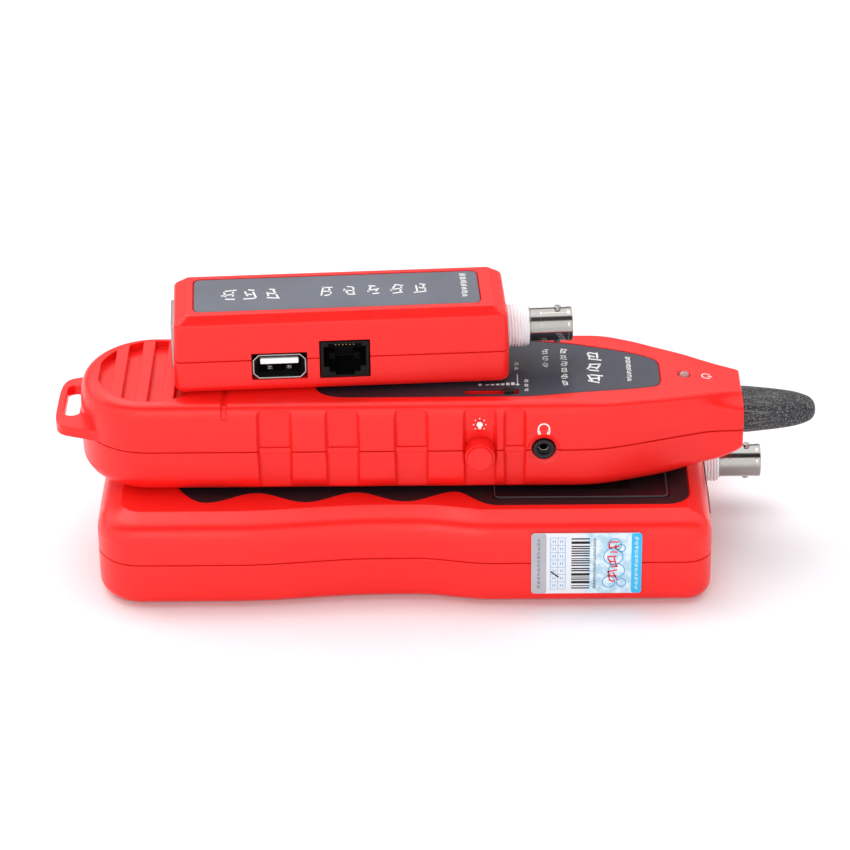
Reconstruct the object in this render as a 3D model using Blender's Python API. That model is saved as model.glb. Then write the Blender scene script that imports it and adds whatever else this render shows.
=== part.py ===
"""Cable tone probe kit: a line tester, a tone probe and a remote adapter, stacked for storage.

The world origin is the centre of the line tester's underside, with +X along its length
towards the connector end, +Y to the back and +Z up. The probe and the adapter are built
round their own origins, each on an empty that stands on the device below it.
"""
import math

import bmesh
import bpy
from mathutils import Vector

MM = 0.001
GAP = 0.3 * MM
ARC_STEPS = 4
ROUND_SEGMENTS = 16

# Line tester
TESTER_LENGTH = 175 * MM
TESTER_WIDTH = 79.5 * MM
TESTER_HEIGHT = 27.5 * MM
TESTER_PARTING = 13.7 * MM
TESTER_WALL = 2.2 * MM
TESTER_WAIST = 3.1 * MM
TESTER_TAIL_RADIUS = 13 * MM
TESTER_NOSE_RADIUS = 7.5 * MM
TESTER_FOOT_RADIUS = 4 * MM
TESTER_FLANK_WIDTH = 6.5 * MM
TESTER_FLANK_HEIGHT = 3.2 * MM
LABEL_DEPTH = 0.8 * MM
LABEL_THICKNESS = 0.3 * MM
WINDOW_CENTRE_X = 50.5 * MM
WINDOW_SIZE = (49.9 * MM, 53 * MM)
WINDOW_DEPTH = 1.5 * MM
DISPLAY_SIZE = (30 * MM, 46 * MM)
KEY_PLACES = {
    "key_power": (-56.2 * MM, 0.0),
    "key_back": (-27.8 * MM, -10.5 * MM),
    "key_enter": (-27.8 * MM, 10.5 * MM),
    "key_down": (0.6 * MM, -10.5 * MM),
    "key_up": (0.6 * MM, 10.5 * MM),
}
KEY_RADIUS = 4.6 * MM
KEY_FLANGE_RADIUS = 6.0 * MM
CELL_RADIUS = 7.1 * MM
CELL_LENGTH = 50 * MM
CELL_PLACES_X = [-67.5 * MM, -52.5 * MM, -37.5 * MM, -22.5 * MM]
TESTER_DOOR_END_X = -13.5 * MM
TESTER_DOOR_HALF_WIDTH = 27.5 * MM
TESTER_BNC_PLACE = (83.3 * MM, 17 * MM, 13.9 * MM)
TESTER_SCREWS = [(-74.5 * MM, 32.6 * MM), (78.5 * MM, 31.7 * MM)]

# Tone probe
PROBE_TAIL_X = -92.4 * MM
PROBE_NOSE_X = 97.8 * MM
PROBE_HALF_WIDTH = 22.5 * MM
PROBE_HEIGHT = 28.0 * MM
PROBE_PARTING = 13.5 * MM
PROBE_WALL = 1.9 * MM
PROBE_TAIL_LENGTH = 21 * MM
PROBE_FOOT_RADIUS = 5 * MM
PROBE_PLACE = (-0.7 * MM, -1.2 * MM)
GRIP_RECESS_DEPTH = 0.7 * MM
GRIP_RECESSES_X = [(-40.3, -31.0), (-21.0, -11.9), (-1.5, 7.6), (18.0, 26.9), (29.4, 35.2)]
VENT_CENTRE = (-70.5 * MM, 0.0)
VENT_RADII = (16.5 * MM, 18.0 * MM)
VENT_PITCH = 7.4 * MM
VENT_WIDTH = 3.9 * MM
VENT_DEPTH = 1.6 * MM
BUTTON_PLACE = (22.5 * MM, 13.2 * MM)
BUTTON_RADIUS = 3.7 * MM
EARPHONE_PLACE = (40.6 * MM, 13.9 * MM)
SLIDER_Y = -13.7 * MM
SLIDER_REST_X = 30.9 * MM
SLIDER_TRACK = (18.4 * MM, 33.6 * MM)
POWER_LED_X = 81.3 * MM
PROBE_TAPER_X = 42 * MM
PROBE_TOP_DROP = [(44, 0.0), (50, 0.1), (56, 0.4), (62, 0.75), (68, 1.2), (73, 1.75), (82, 2.6), (90, 3.6), (98, 4.8)]
PROBE_NOSE_FACET = [(68, 0), (82, 0.6), (86.6, 1.6), (92, 3.6), (98, 5.6)]
TIP_END_X = 119.3 * MM
LOOP_FRONT = [(-99.2, -6.0), (-98.6, -9.4), (-97.2, -11.5), (-94.3, -12.9)]
LOOP_ROOT = [-16.5, -12, -8, -4, 0, 4, 8, 12, 16, 18.5]
LOOP_BACK = [(-93.6, 16.4), (-96.6, 15.2), (-98.1, 13.3), (-99.0, 10.4), (-99.2, 7.0)]
LOOP_THICKNESS = 3.2 * MM
TIP_AXIS_Z = 13.9 * MM
TIP_HALF_WIDTHS = [(97.8, 8.0), (105, 7.3), (110, 6.6), (114, 5.7), (117.3, 4.3), (118.7, 2.8), (119.3, 1.2)]
TIP_HALF_HEIGHTS = [(97.8, 5.6), (105, 5.1), (110, 4.6), (114, 4.0), (117.3, 3.0), (118.7, 2.0), (119.3, 0.9)]
PROBE_DOOR_END_X = -35 * MM
PROBE_DOOR_HALF_WIDTH = 14.2 * MM
PROBE_SCREWS = [(-27.2 * MM, 0.0), (76 * MM, 0.0)]

# Remote adapter
ADAPTER_LENGTH = 94.8 * MM
ADAPTER_WIDTH = 29.5 * MM
ADAPTER_HEIGHT = 23.7 * MM
ADAPTER_PARTING = 10.2 * MM
ADAPTER_WALL = 1.8 * MM
ADAPTER_PLACE = (-17.8 * MM, 1.1 * MM)
ADAPTER_YAW = math.radians(3.4)
ADAPTER_LABEL = (80.8 * MM, 19.6 * MM)
ADAPTER_LABEL_PLACE = (-0.8 * MM, 0.2 * MM)
ADAPTER_BNC_PLACE = (44.5 * MM, 0.0, 10.7 * MM)
ADAPTER_SCREWS = [(15 * MM, -6 * MM)]

# Shared connectors
BNC_BARREL_RADIUS = 4.83 * MM
BNC_BARREL_BORE = 4.1 * MM
BNC_NECK_RADIUS = 6.2 * MM
BNC_NECK_LENGTH = 9.4 * MM
BNC_BARREL_LENGTH = 12.5 * MM
USB_LIP = 1.0 * MM
SCREW_HEAD_RADIUS = 2.5 * MM
SCREW_SHANK_RADIUS = 1.2 * MM

RED = ("red_plastic", (0.80, 0.018, 0.012), 0.32, 0.0)
LABEL_INK = ("label_film", (0.03, 0.03, 0.035), 0.42, 0.0)
RUBBER = ("black_rubber", (0.03, 0.03, 0.03), 0.7, 0.0)
BLACK = ("black_plastic", (0.02, 0.02, 0.02), 0.4, 0.0)
WHITE = ("white_plastic", (0.85, 0.84, 0.83), 0.45, 0.0)
CLEAR = ("clear_plastic", (0.85, 0.85, 0.85), 0.08, 0.0)
NICKEL = ("nickel", (0.72, 0.69, 0.66), 0.18, 1.0)
STEEL = ("steel", (0.62, 0.62, 0.62), 0.3, 1.0)
GOLD = ("gold_plate", (0.85, 0.6, 0.2), 0.25, 1.0)
BOARD = ("circuit_board", (0.02, 0.22, 0.08), 0.45, 0.0)
CELL = ("battery_wrap", (0.10, 0.12, 0.16), 0.4, 0.0)
PAPER = ("sticker_film", (0.78, 0.84, 0.88), 0.4, 0.0)


def clear_scene():
    """Empty the file, so that the kit is all that it holds."""
    for obj in list(bpy.data.objects):
        bpy.data.objects.remove(obj, do_unlink=True)


def material(recipe):
    """Return the Principled material of one recipe, made once."""
    name, color, roughness, metallic = recipe
    found = bpy.data.materials.get(name)
    if found:
        return found
    made = bpy.data.materials.new(name)
    made.use_nodes = True
    shader = made.node_tree.nodes["Principled BSDF"]
    shader.inputs["Base Color"].default_value = (*color, 1.0)
    shader.inputs["Roughness"].default_value = roughness
    shader.inputs["Metallic"].default_value = metallic
    made.diffuse_color = (*color, 1.0)
    return made


def frame_empty(name, location, yaw=0.0):
    """An empty that carries one device of the stack."""
    empty = bpy.data.objects.new(name, None)
    empty.location = location
    empty.rotation_euler = (0.0, 0.0, yaw)
    bpy.context.collection.objects.link(empty)
    return empty


def finish_object(name, bm, recipe, parent=None, location=(0.0, 0.0, 0.0)):
    """Turn a bmesh into a named, smooth-shaded object."""
    bmesh.ops.recalc_face_normals(bm, faces=bm.faces)
    mesh = bpy.data.meshes.new(name)
    bm.to_mesh(mesh)
    bm.free()
    mesh.shade_smooth()
    mesh.set_sharp_from_angle(angle=math.radians(35))
    if recipe:
        mesh.materials.append(material(recipe))
    obj = bpy.data.objects.new(name, mesh)
    obj.parent = parent
    obj.location = location
    bpy.context.collection.objects.link(obj)
    return obj


def modify(obj, tool_name, bm, operation, location=(0.0, 0.0, 0.0)):
    """Cut a tool shape from an object, or add it, with an exact Boolean."""
    tool = finish_object(f"{obj.name}_{tool_name}", bm, None, obj.parent, location)
    tool.hide_render = True
    tool.display_type = "WIRE"
    boolean = obj.modifiers.new(tool_name, "BOOLEAN")
    boolean.operation = operation
    boolean.solver = "EXACT"
    boolean.object = tool


def cut(obj, tool_name, bm):
    """Cut a tool shape out of an object."""
    modify(obj, tool_name, bm, "DIFFERENCE")


def add(obj, tool_name, bm):
    """Fuse a tool shape onto an object."""
    modify(obj, tool_name, bm, "UNION")


def keep(obj, tool_name, bm):
    """Keep only what lies inside a tool shape."""
    modify(obj, tool_name, bm, "INTERSECT")


def skin(bm, rings):
    """Skin mirrored rings in order, with a cap of strips on the first and the last."""
    loops = [[bm.verts.new(point) for point in ring] for ring in rings]
    count = len(loops[0])
    for low, high in zip(loops, loops[1:]):
        for i in range(count):
            j = (i + 1) % count
            bm.faces.new((low[i], low[j], high[j], high[i]))
    middle = count // 2
    for loop in (loops[0], loops[-1]):
        bm.faces.new([loop[-2], loop[-1], *loop[:3]])
        for i in range(2, middle - 2):
            bm.faces.new((loop[i], loop[i + 1], loop[-i - 1], loop[-i]))
        bm.faces.new(loop[middle - 2:middle + 3])
    return bm


def mirrored(half):
    """Close a half outline, given from tail to nose at negative y, on both end points."""
    tail = (half[0][0], 0.0)
    nose = (half[-1][0], 0.0)
    return [tail, *half, nose, *[(x, -y) for x, y in reversed(half)]]


def inset(outline, distance):
    """Move an outline inwards by a distance, along the corner bisectors."""
    count = len(outline)
    moved = []
    for i, (x, y) in enumerate(outline):
        before = Vector(outline[i - 1])
        after = Vector(outline[(i + 1) % count])
        here = Vector((x, y))
        first = (here - before).normalized()
        second = (after - here).normalized()
        normal = Vector((-first.y - second.y, first.x + second.x)).normalized()
        stretch = max(0.5, normal.dot(Vector((-first.y, first.x))))
        step = normal * (distance / stretch)
        moved.append((x + step.x, y + step.y))
    return moved


def at_height(outline, z):
    """Lift a flat outline to a height."""
    return [(x, y, z) for x, y in outline]


def quarter(steps=ARC_STEPS):
    """Angles of a quarter turn, ends included."""
    return [math.pi / 2 * i / steps for i in range(steps + 1)]


def smoothstep(start, end, value):
    """Ease from 0 to 1 between two values."""
    t = min(1.0, max(0.0, (value - start) / (end - start)))
    return t * t * (3.0 - 2.0 * t)


def stations_curve(stations, x):
    """Read a height or width at x, eased through its stations."""
    if x <= stations[0][0]:
        return stations[0][1]
    for i, ((x0, y0), (x1, y1)) in enumerate(zip(stations, stations[1:])):
        if x <= x1:
            chord = (y1 - y0) / (x1 - x0)
            before = stations[i - 1] if i else None
            after = stations[i + 2] if i + 2 < len(stations) else None
            slope0 = (y1 - before[1]) / (x1 - before[0]) if before else 0.0
            slope1 = (after[1] - y0) / (after[0] - x0) if after else chord
            width = x1 - x0
            t = (x - x0) / width
            rise = (3.0 - 2.0 * t) * t * t * (y1 - y0)
            bend = t * (1.0 - t) * ((1.0 - t) * slope0 - t * slope1) * width
            return y0 + rise + bend
    return stations[-1][1]


def rectangle(length, width, radius, centre=(0.0, 0.0), steps=3):
    """A rounded rectangle, in the mirrored point order."""
    half = []
    for angle in quarter(steps):
        x = -length / 2 + radius - radius * math.cos(angle)
        half.append((x, -width / 2 + radius - radius * math.sin(angle)))
    for angle in quarter(steps):
        x = length / 2 - radius + radius * math.sin(angle)
        half.append((x, -width / 2 + radius - radius * math.cos(angle)))
    return [(x + centre[0], y + centre[1]) for x, y in mirrored(half)]


def plate(outline, low, high, bm=None):
    """A flat plate of one outline."""
    return skin(bm or bmesh.new(), [at_height(outline, low), at_height(outline, high)])


def prism(outline, low, high, bm=None):
    """An upright prism over any simple outline."""
    bm = bm or bmesh.new()
    loops = [[bm.verts.new((x, y, z)) for x, y in outline] for z in (low, high)]
    count = len(outline)
    for i in range(count):
        j = (i + 1) % count
        bm.faces.new((loops[0][i], loops[0][j], loops[1][j], loops[1][i]))
    bm.faces.new(reversed(loops[0]))
    bm.faces.new(loops[1])
    return bm


def block(low, high, bm=None):
    """An axis-aligned box between two corners."""
    (x0, y0, z0), (x1, y1, z1) = low, high
    return prism([(x0, y0), (x1, y0), (x1, y1), (x0, y1)], z0, z1, bm)


def soft_block(low, high, radius, bm=None):
    """A box with its upright edges rounded."""
    length = high[0] - low[0]
    width = high[1] - low[1]
    centre = ((high[0] + low[0]) / 2, (high[1] + low[1]) / 2)
    return plate(rectangle(length, width, radius, centre), low[2], high[2], bm)


def turned(profile, axis="Z", origin=(0.0, 0.0, 0.0), segments=ROUND_SEGMENTS, bm=None):
    """Turn a run of (radius, height) points about an axis; zero radii end on it."""
    bm = bm or bmesh.new()
    axes = {"X": ((0, 1, 0), (0, 0, 1), (1, 0, 0)),
            "Y": ((0, 0, 1), (1, 0, 0), (0, 1, 0)),
            "Z": ((1, 0, 0), (0, 1, 0), (0, 0, 1))}
    side, up, along = (Vector(v) for v in axes[axis])
    centre = Vector(origin)
    loops = []
    for radius, height in profile:
        if radius == 0.0:
            continue
        loop = []
        for i in range(segments):
            angle = 2.0 * math.pi * i / segments
            spoke = side * math.cos(angle) + up * math.sin(angle)
            loop.append(bm.verts.new(centre + along * height + spoke * radius))
        loops.append(loop)
    pairs = list(zip(loops, loops[1:]))
    if profile[0][0] > 0.0:
        pairs.append((loops[-1], loops[0]))
    for low, high in pairs:
        for i in range(segments):
            j = (i + 1) % segments
            bm.faces.new((low[i], low[j], high[j], high[i]))
    for end, ring, loop in ((profile[0], profile[1], loops[0]), (profile[-1], profile[-2], loops[-1])):
        if end[0] > 0.0:
            continue
        if end[1] == ring[1]:
            bm.faces.new(loop)
            continue
        apex = bm.verts.new(centre + along * end[1])
        for i in range(segments):
            bm.faces.new((loop[i], loop[(i + 1) % segments], apex))
    return bm


def rod(radius, low, high, axis="Z", origin=(0.0, 0.0, 0.0), segments=ROUND_SEGMENTS, bm=None):
    """A plain round bar along an axis."""
    profile = [(0.0, low), (radius, low), (radius, high), (0.0, high)]
    return turned(profile, axis, origin, segments, bm)


def tray(name, recipe, rings_outside, rings_inside, parent=None):
    """A shell half: its outside from the closed face to the rim, then its inside back."""
    return finish_object(name, skin(bmesh.new(), rings_outside + rings_inside), recipe, parent)


# ---------------------------------------------------------------- line tester

def tester_half_width(x):
    """Half the tester's width, drawn in at the waist."""
    drawn_in = smoothstep(-48 * MM, -7 * MM, x) - smoothstep(3 * MM, 25 * MM, x)
    return TESTER_WIDTH / 2 - TESTER_WAIST * drawn_in


def tester_outline():
    """The tester seen from above."""
    half = []
    radius = TESTER_TAIL_RADIUS
    for angle in quarter():
        x = -TESTER_LENGTH / 2 + radius - radius * math.cos(angle)
        half.append((x, -TESTER_WIDTH / 2 + radius - radius * math.sin(angle)))
    for x in (-48, -39, -31, -23, -15, -7, 3, 8, 14, 20, 25):
        half.append((x * MM, -tester_half_width(x * MM)))
    radius = TESTER_NOSE_RADIUS
    for angle in quarter(4):
        x = TESTER_LENGTH / 2 - radius + radius * math.sin(angle)
        half.append((x, -TESTER_WIDTH / 2 + radius - radius * math.cos(angle)))
    return mirrored(half)


def screw_boss(obj, places, radius, low, high):
    """Posts inside a shell for its case screws, a little short of its rim."""
    for i, (x, y) in enumerate(places):
        top = high(x) if callable(high) else high
        add(obj, f"screw_boss_{i + 1}", rod(radius, low, top, origin=(x, y, 0.0), segments=12))


def screw_holes(obj, places, steps):
    """Stepped holes for case screws; a step is a radius and its two heights."""
    bm = bmesh.new()
    for x, y in places:
        profile = [(0.0, steps[0][1])]
        for radius, low, high in steps:
            profile += [(radius, low), (radius, high)]
        profile.append((0.0, steps[-1][2]))
        turned(profile, origin=(x, y, 0.0), segments=12, bm=bm)
    cut(obj, "screw_holes", bm)


def both_sides(places):
    """Each place and its mirror image across the centre line."""
    return [(x, side * y) for x, y in places for side in (-1, 1)]


def tester_rear_cover():
    """Lower shell of the tester, with its battery door cut free."""
    outline = tester_outline()
    foot = TESTER_FOOT_RADIUS
    rim = TESTER_PARTING - GAP / 2
    outside = []
    for angle in quarter(3):
        level = foot - foot * math.cos(angle)
        outside.append(at_height(inset(outline, foot - foot * math.sin(angle)), level))
    outside.append(at_height(outline, rim))
    inner = inset(outline, TESTER_WALL)
    inside = [at_height(inner, rim), at_height(inner, 5 * MM),
              at_height(inset(outline, TESTER_WALL + 2.4 * MM), TESTER_WALL)]
    cover = tray("tester_rear_cover", RED, outside, inside)
    door = tray("tester_battery_door", RED, outside, inside)
    low = (-TESTER_LENGTH, -TESTER_DOOR_HALF_WIDTH, -5 * MM)
    high = (TESTER_DOOR_END_X, TESTER_DOOR_HALF_WIDTH, 4.6 * MM)
    keep(door, "door_outline", block(low, high))
    grips = bmesh.new()
    for i in range(4):
        x = (-82 + 3 * i) * MM
        block((x, -9 * MM, -1 * MM), (x + 1.2 * MM, 9 * MM, 0.6 * MM), grips)
    cut(door, "thumb_grips", grips)
    low = (low[0], low[1] - GAP, low[2])
    high = (high[0] + GAP, high[1] + GAP, high[2] + GAP)
    cut(cover, "door_opening", block(low, high))
    screw_boss(cover, both_sides(TESTER_SCREWS), 3.9 * MM, 1 * MM, rim - GAP)
    screw_holes(cover, both_sides(TESTER_SCREWS),
                [(SCREW_HEAD_RADIUS + GAP, -1 * MM, 3 * MM), (SCREW_SHANK_RADIUS + GAP, 3 * MM, 20 * MM)])
    return cover


def tester_front_cover():
    """Upper shell of the tester, with its flank rolled over to the face."""
    outline = tester_outline()
    rim = TESTER_PARTING + GAP / 2
    shoulder = TESTER_HEIGHT - TESTER_FLANK_HEIGHT
    sweep = math.radians(66)
    outside = []
    for i in range(ARC_STEPS, -1, -1):
        angle = sweep * i / ARC_STEPS
        reach = TESTER_FLANK_WIDTH * (1 - math.cos(angle)) / (1 - math.cos(sweep))
        level = shoulder + TESTER_FLANK_HEIGHT * math.sin(angle) / math.sin(sweep)
        outside.append(at_height(inset(outline, reach), level))
    outside.append(at_height(outline, rim))
    inner = inset(outline, TESTER_WALL)
    ceiling = TESTER_HEIGHT - 2.5 * MM
    inside = [at_height(inner, rim), at_height(inner, shoulder - 1 * MM),
              at_height(inset(outline, TESTER_FLANK_WIDTH + 0.8 * MM), ceiling)]
    cover = tray("tester_front_cover", RED, outside, inside)
    top = TESTER_HEIGHT
    recess = inset(tester_label_outline(), -GAP)
    cut(cover, "label_recess", plate(recess, top - LABEL_DEPTH, top + 2 * MM))
    length, width = WINDOW_SIZE
    centre = (WINDOW_CENTRE_X, 0.0)
    pocket = rectangle(length + 2 * GAP, width + 2 * GAP, 2 * MM, centre)
    cut(cover, "window_pocket", plate(pocket, top - WINDOW_DEPTH, top + 2 * MM))
    length, width = DISPLAY_SIZE
    opening = rectangle(length + 2 * MM, width + 2 * MM, 1 * MM, centre)
    cut(cover, "display_opening", plate(opening, ceiling - 2 * MM, top))
    holes = bmesh.new()
    for x, y in KEY_PLACES.values():
        rod(KEY_RADIUS + GAP, ceiling - 2 * MM, top + 2 * MM, origin=(x, y, 0.0), bm=holes)
    cut(cover, "key_holes", holes)
    screw_boss(cover, both_sides(TESTER_SCREWS), 3.4 * MM, rim + GAP, ceiling + 1 * MM)
    screw_holes(cover, both_sides(TESTER_SCREWS), [(SCREW_SHANK_RADIUS + GAP, 10 * MM, 22 * MM)])
    return cover


def tester_label_outline():
    """The face label, scalloped along both edges beside the keys."""
    def half_width(x):
        scallops = 25.0 + 2.6 * math.cos(2 * math.pi * (x + 56.2) / 28.4)
        return scallops + (30.0 - scallops) * smoothstep(15.0, 27.3, x)

    half = []
    for angle in quarter()[1:]:
        x = -56.2 - 13.3 * math.cos(angle)
        half.append((x * MM, -half_width(x) * math.sin(angle) * MM))
    for x in (-51, -46, -41, -36, -31, -26, -21, -16, -11, -6, -1, 4, 9, 14, 18, 22, 26):
        half.append((x * MM, -half_width(x) * MM))
    for angle in quarter(4):
        half.append(((74.8 + 6.5 * math.sin(angle)) * MM, (-23.5 - 6.5 * math.cos(angle)) * MM))
    return mirrored(half)


def cut_tester_ports(covers):
    """Openings for the connectors in the tester's nose end and back side."""
    x, y, z = TESTER_BNC_PLACE
    for cover in covers:
        ports = bmesh.new()
        rod(BNC_NECK_RADIUS + GAP, -3 * MM, 9 * MM, "X", (x, y, z), bm=ports)
        for name, (low, high) in TESTER_PORTS.items():
            port_cut(name, low, high, ports)
        cut(cover, "ports", ports)


TESTER_PORTS = {
    "rj45": ((72.0 * MM, -24.4 * MM, 7.3 * MM), (87.9 * MM, -8.6 * MM, 20.5 * MM)),
    "rj11": ((75.0 * MM, -6.2 * MM, 8.2 * MM), (87.9 * MM, 7.2 * MM, 19.6 * MM)),
    "usb": ((38.0 * MM, 26.3 * MM, 10.9 * MM), (51.0 * MM, 40.1 * MM, 16.5 * MM)),
}


def tester_label_and_window():
    """The printed face label and the display window set into it."""
    low = TESTER_HEIGHT - LABEL_DEPTH + GAP
    label = finish_object("tester_face_label",
                          plate(tester_label_outline(), low, low + LABEL_THICKNESS), LABEL_INK)
    openings = bmesh.new()
    length, width = WINDOW_SIZE
    centre = (WINDOW_CENTRE_X, 0.0)
    around = rectangle(length + 2 * GAP, width + 2 * GAP, 2 * MM, centre)
    plate(around, low - 1 * MM, low + 2 * MM, openings)
    for x, y in KEY_PLACES.values():
        rod(KEY_RADIUS + GAP, low - 1 * MM, low + 2 * MM, origin=(x, y, 0.0), bm=openings)
    cut(label, "openings", openings)
    bottom = TESTER_HEIGHT - WINDOW_DEPTH + GAP
    bm = plate(rectangle(length, width, 2 * MM, centre), bottom, TESTER_HEIGHT)
    window = finish_object("tester_display_window", bm, CLEAR)
    dish = rectangle(length - 1.6 * MM, width - 1.6 * MM, 1.5 * MM, centre)
    cut(window, "rim_step", plate(dish, TESTER_HEIGHT - 0.35 * MM, TESTER_HEIGHT + 1 * MM))
    length, width = DISPLAY_SIZE
    bm = soft_block((29 * MM, -27 * MM, 19.8 * MM), (71.5 * MM, 27 * MM, 24.6 * MM), 1 * MM)
    module = finish_object("tester_display_module", bm, BLACK)
    glass = rectangle(length, width, 1 * MM, centre)
    add(module, "display_glass", plate(glass, 22 * MM, 25.6 * MM))


def tester_keys():
    """Rubber keys with a flange under the face and a plunger over their switches."""
    top = TESTER_HEIGHT - 0.1 * MM
    flange = TESTER_HEIGHT - 2.8 * MM
    crown = 0.7 * MM
    for name, (x, y) in KEY_PLACES.items():
        profile = [(0.0, top), (KEY_RADIUS - crown, top), (KEY_RADIUS, top - crown),
                   (KEY_RADIUS, flange), (KEY_FLANGE_RADIUS, flange),
                   (KEY_FLANGE_RADIUS, flange - 1 * MM), (1.5 * MM, flange - 1 * MM),
                   (1.5 * MM, flange - 2 * MM), (0.0, flange - 2 * MM)]
        shifted = [(radius, height - top) for radius, height in profile]
        finish_object(name, turned(shifted), RUBBER, location=(x, y, top))


def tester_boards():
    """The main board over the batteries and the low board that carries the end connectors."""
    bm = block((-74 * MM, -28 * MM, 17.6 * MM), (69.5 * MM, 28 * MM, 19.2 * MM))
    board = finish_object("tester_main_board", bm, BOARD)
    switches = bmesh.new()
    for x, y in KEY_PLACES.values():
        block((x - 3 * MM, y - 3 * MM, 19 * MM), (x + 3 * MM, y + 3 * MM, 21.4 * MM), switches)
    block((8 * MM, -6 * MM, 19 * MM), (22 * MM, 8 * MM, 21 * MM), switches)
    add(board, "key_switches", switches)
    bm = block((58 * MM, -27 * MM, 5 * MM), (83.5 * MM, 26 * MM, 6.6 * MM))
    finish_object("tester_connector_board", bm, BOARD)


def tester_batteries():
    """Four penlight cells laid across the tester, head to tail."""
    half = CELL_LENGTH / 2
    for i, x in enumerate(CELL_PLACES_X):
        side = -1 if i % 2 else 1
        profile = [(0.0, -half * side), (CELL_RADIUS - 0.6 * MM, -half * side),
                   (CELL_RADIUS, (0.6 * MM - half) * side), (CELL_RADIUS, (half - 2 * MM) * side),
                   (CELL_RADIUS - 0.6 * MM, (half - 1.4 * MM) * side),
                   (2.7 * MM, (half - 1.4 * MM) * side), (2.7 * MM, half * side), (0.0, half * side)]
        bm = turned(profile, "Y", segments=16)
        finish_object(f"tester_battery_{i + 1}", bm, CELL, location=(x, 0.0, 10.0 * MM))


def case_screws(prefix, places, seat, tip, parent=None):
    """Cross-head case screws, driven in from below."""
    for i, (x, y) in enumerate(places):
        profile = [(0.0, seat - 1.9 * MM), (SCREW_HEAD_RADIUS - 0.4 * MM, seat - 1.9 * MM),
                   (SCREW_HEAD_RADIUS, seat - 1.5 * MM), (SCREW_HEAD_RADIUS, seat),
                   (SCREW_SHANK_RADIUS, seat), (SCREW_SHANK_RADIUS, tip - 1 * MM), (0.0, tip)]
        bm = turned(profile, segments=10)
        screw = finish_object(f"{prefix}_case_screw_{i + 1}", bm, STEEL, parent, (x, y, 0.0))
        long, short = 1.5 * MM, 0.35 * MM
        arm = [(long, -short), (long, short), (short, short), (short, long)]
        plus = [*arm, (-short, long), (-short, short), (-long, short), (-long, -short),
                (-short, -short), (-short, -long), (short, -long), (short, -short)]
        cross = prism(plus, seat - 4 * MM, seat - 1 * MM)
        modify(screw, "cross_recess", cross, "DIFFERENCE", (x, y, 0.0))


def inspection_sticker():
    """The seal sticker across the tester's front side."""
    y = -TESTER_WIDTH / 2 - GAP
    outline = rectangle(31.2 * MM, 20 * MM, 1 * MM, (51.7 * MM, 13.9 * MM))
    loops = [[(x, y - depth, z) for x, z in outline] for depth in (0.15 * MM, 0.0)]
    finish_object("inspection_sticker", skin(bmesh.new(), loops), PAPER)


# ---------------------------------------------------------------- connectors

def bnc_connector(prefix, place, block_low, block_high, parent=None):
    """A plastic-necked BNC socket: housing, nickel barrel, dielectric and centre contact."""
    x, y, z = place
    neck_end = BNC_NECK_LENGTH
    housing = soft_block(block_low, block_high, 0.8 * MM)
    body = finish_object(f"{prefix}_bnc_housing", housing, WHITE, parent)
    root = BNC_NECK_RADIUS - 0.45 * MM
    ribs = [(0.0, -6 * MM), (root, -6 * MM)]
    rib_count = 5
    pitch = 1.4 * MM
    first = neck_end - rib_count * pitch
    for i in range(rib_count):
        start = first + i * pitch
        ribs += [(root, start), (BNC_NECK_RADIUS, start + 0.35 * pitch),
                 (BNC_NECK_RADIUS, start + 0.65 * pitch)]
    ribs += [(root, neck_end), (0.0, neck_end)]
    add(body, "threaded_neck", turned(ribs, "X", place))
    bore = rod(BNC_BARREL_RADIUS + GAP, -3 * MM, neck_end + 5 * MM, "X", place)
    cut(body, "barrel_bore", bore)
    end = neck_end + BNC_BARREL_LENGTH
    start = -2.7 * MM
    outer, inner = BNC_BARREL_RADIUS, BNC_BARREL_BORE
    profile = [(outer, start), (outer, end - 0.3 * MM), (outer - 0.3 * MM, end), (inner, end),
               (inner, start + 1 * MM), (3.3 * MM, start + 1 * MM), (3.3 * MM, start)]
    barrel = finish_object(f"{prefix}_bnc_barrel", turned(profile, "X", place), NICKEL, parent)
    lugs = bmesh.new()
    for side in (-1, 1):
        low, high = sorted((side * (outer - 0.4 * MM), side * (outer + 1.0 * MM)))
        rod(1.0 * MM, low, high, "Z", (x + end - 4.2 * MM, y, z), 10, lugs)
    add(barrel, "bayonet_lugs", lugs)
    profile = [(3.0 * MM, start), (3.0 * MM, start + 8 * MM), (2.4 * MM, start + 8 * MM),
               (2.4 * MM, end - 3 * MM), (1.4 * MM, end - 3 * MM), (1.4 * MM, start)]
    finish_object(f"{prefix}_bnc_dielectric", turned(profile, "X", place, 14), WHITE, parent)
    profile = [(0.0, start), (1.1 * MM, start), (1.1 * MM, end - 3.4 * MM), (0.5 * MM, end - 3.4 * MM),
               (0.5 * MM, end - 8 * MM), (0.0, end - 8 * MM)]
    finish_object(f"{prefix}_bnc_contact", turned(profile, "X", place, 12), GOLD, parent)


def jack(name, low, high, facing, mouth, recipe, parent=None):
    """A modular jack: a block with its plug cavity and its latch notch below it.

    facing is the outward side as (axis, sign); mouth is the cavity's width and height.
    """
    axis, sign = facing
    across = 1 - axis
    width, height = mouth
    depth = 11.5 * MM
    notch_depth = 2.2 * MM
    middle = (low[across] + high[across]) / 2
    ceiling = high[2] - 1.6 * MM
    face = high[axis] if sign > 0 else low[axis]
    back = face - sign * depth
    obj = finish_object(name, block(low, high), recipe, parent)

    def pocket(half_width, bottom, top):
        start, end = [0.0, 0.0, bottom], [0.0, 0.0, top]
        start[axis], end[axis] = sorted((back, face + sign * MM))
        start[across], end[across] = middle - half_width, middle + half_width
        return block(start, end)

    cut(obj, "plug_cavity", pocket(width / 2, ceiling - height, ceiling))
    cut(obj, "latch_notch", pocket(width / 4, ceiling - height - notch_depth, ceiling - height / 2))
    return obj


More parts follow.
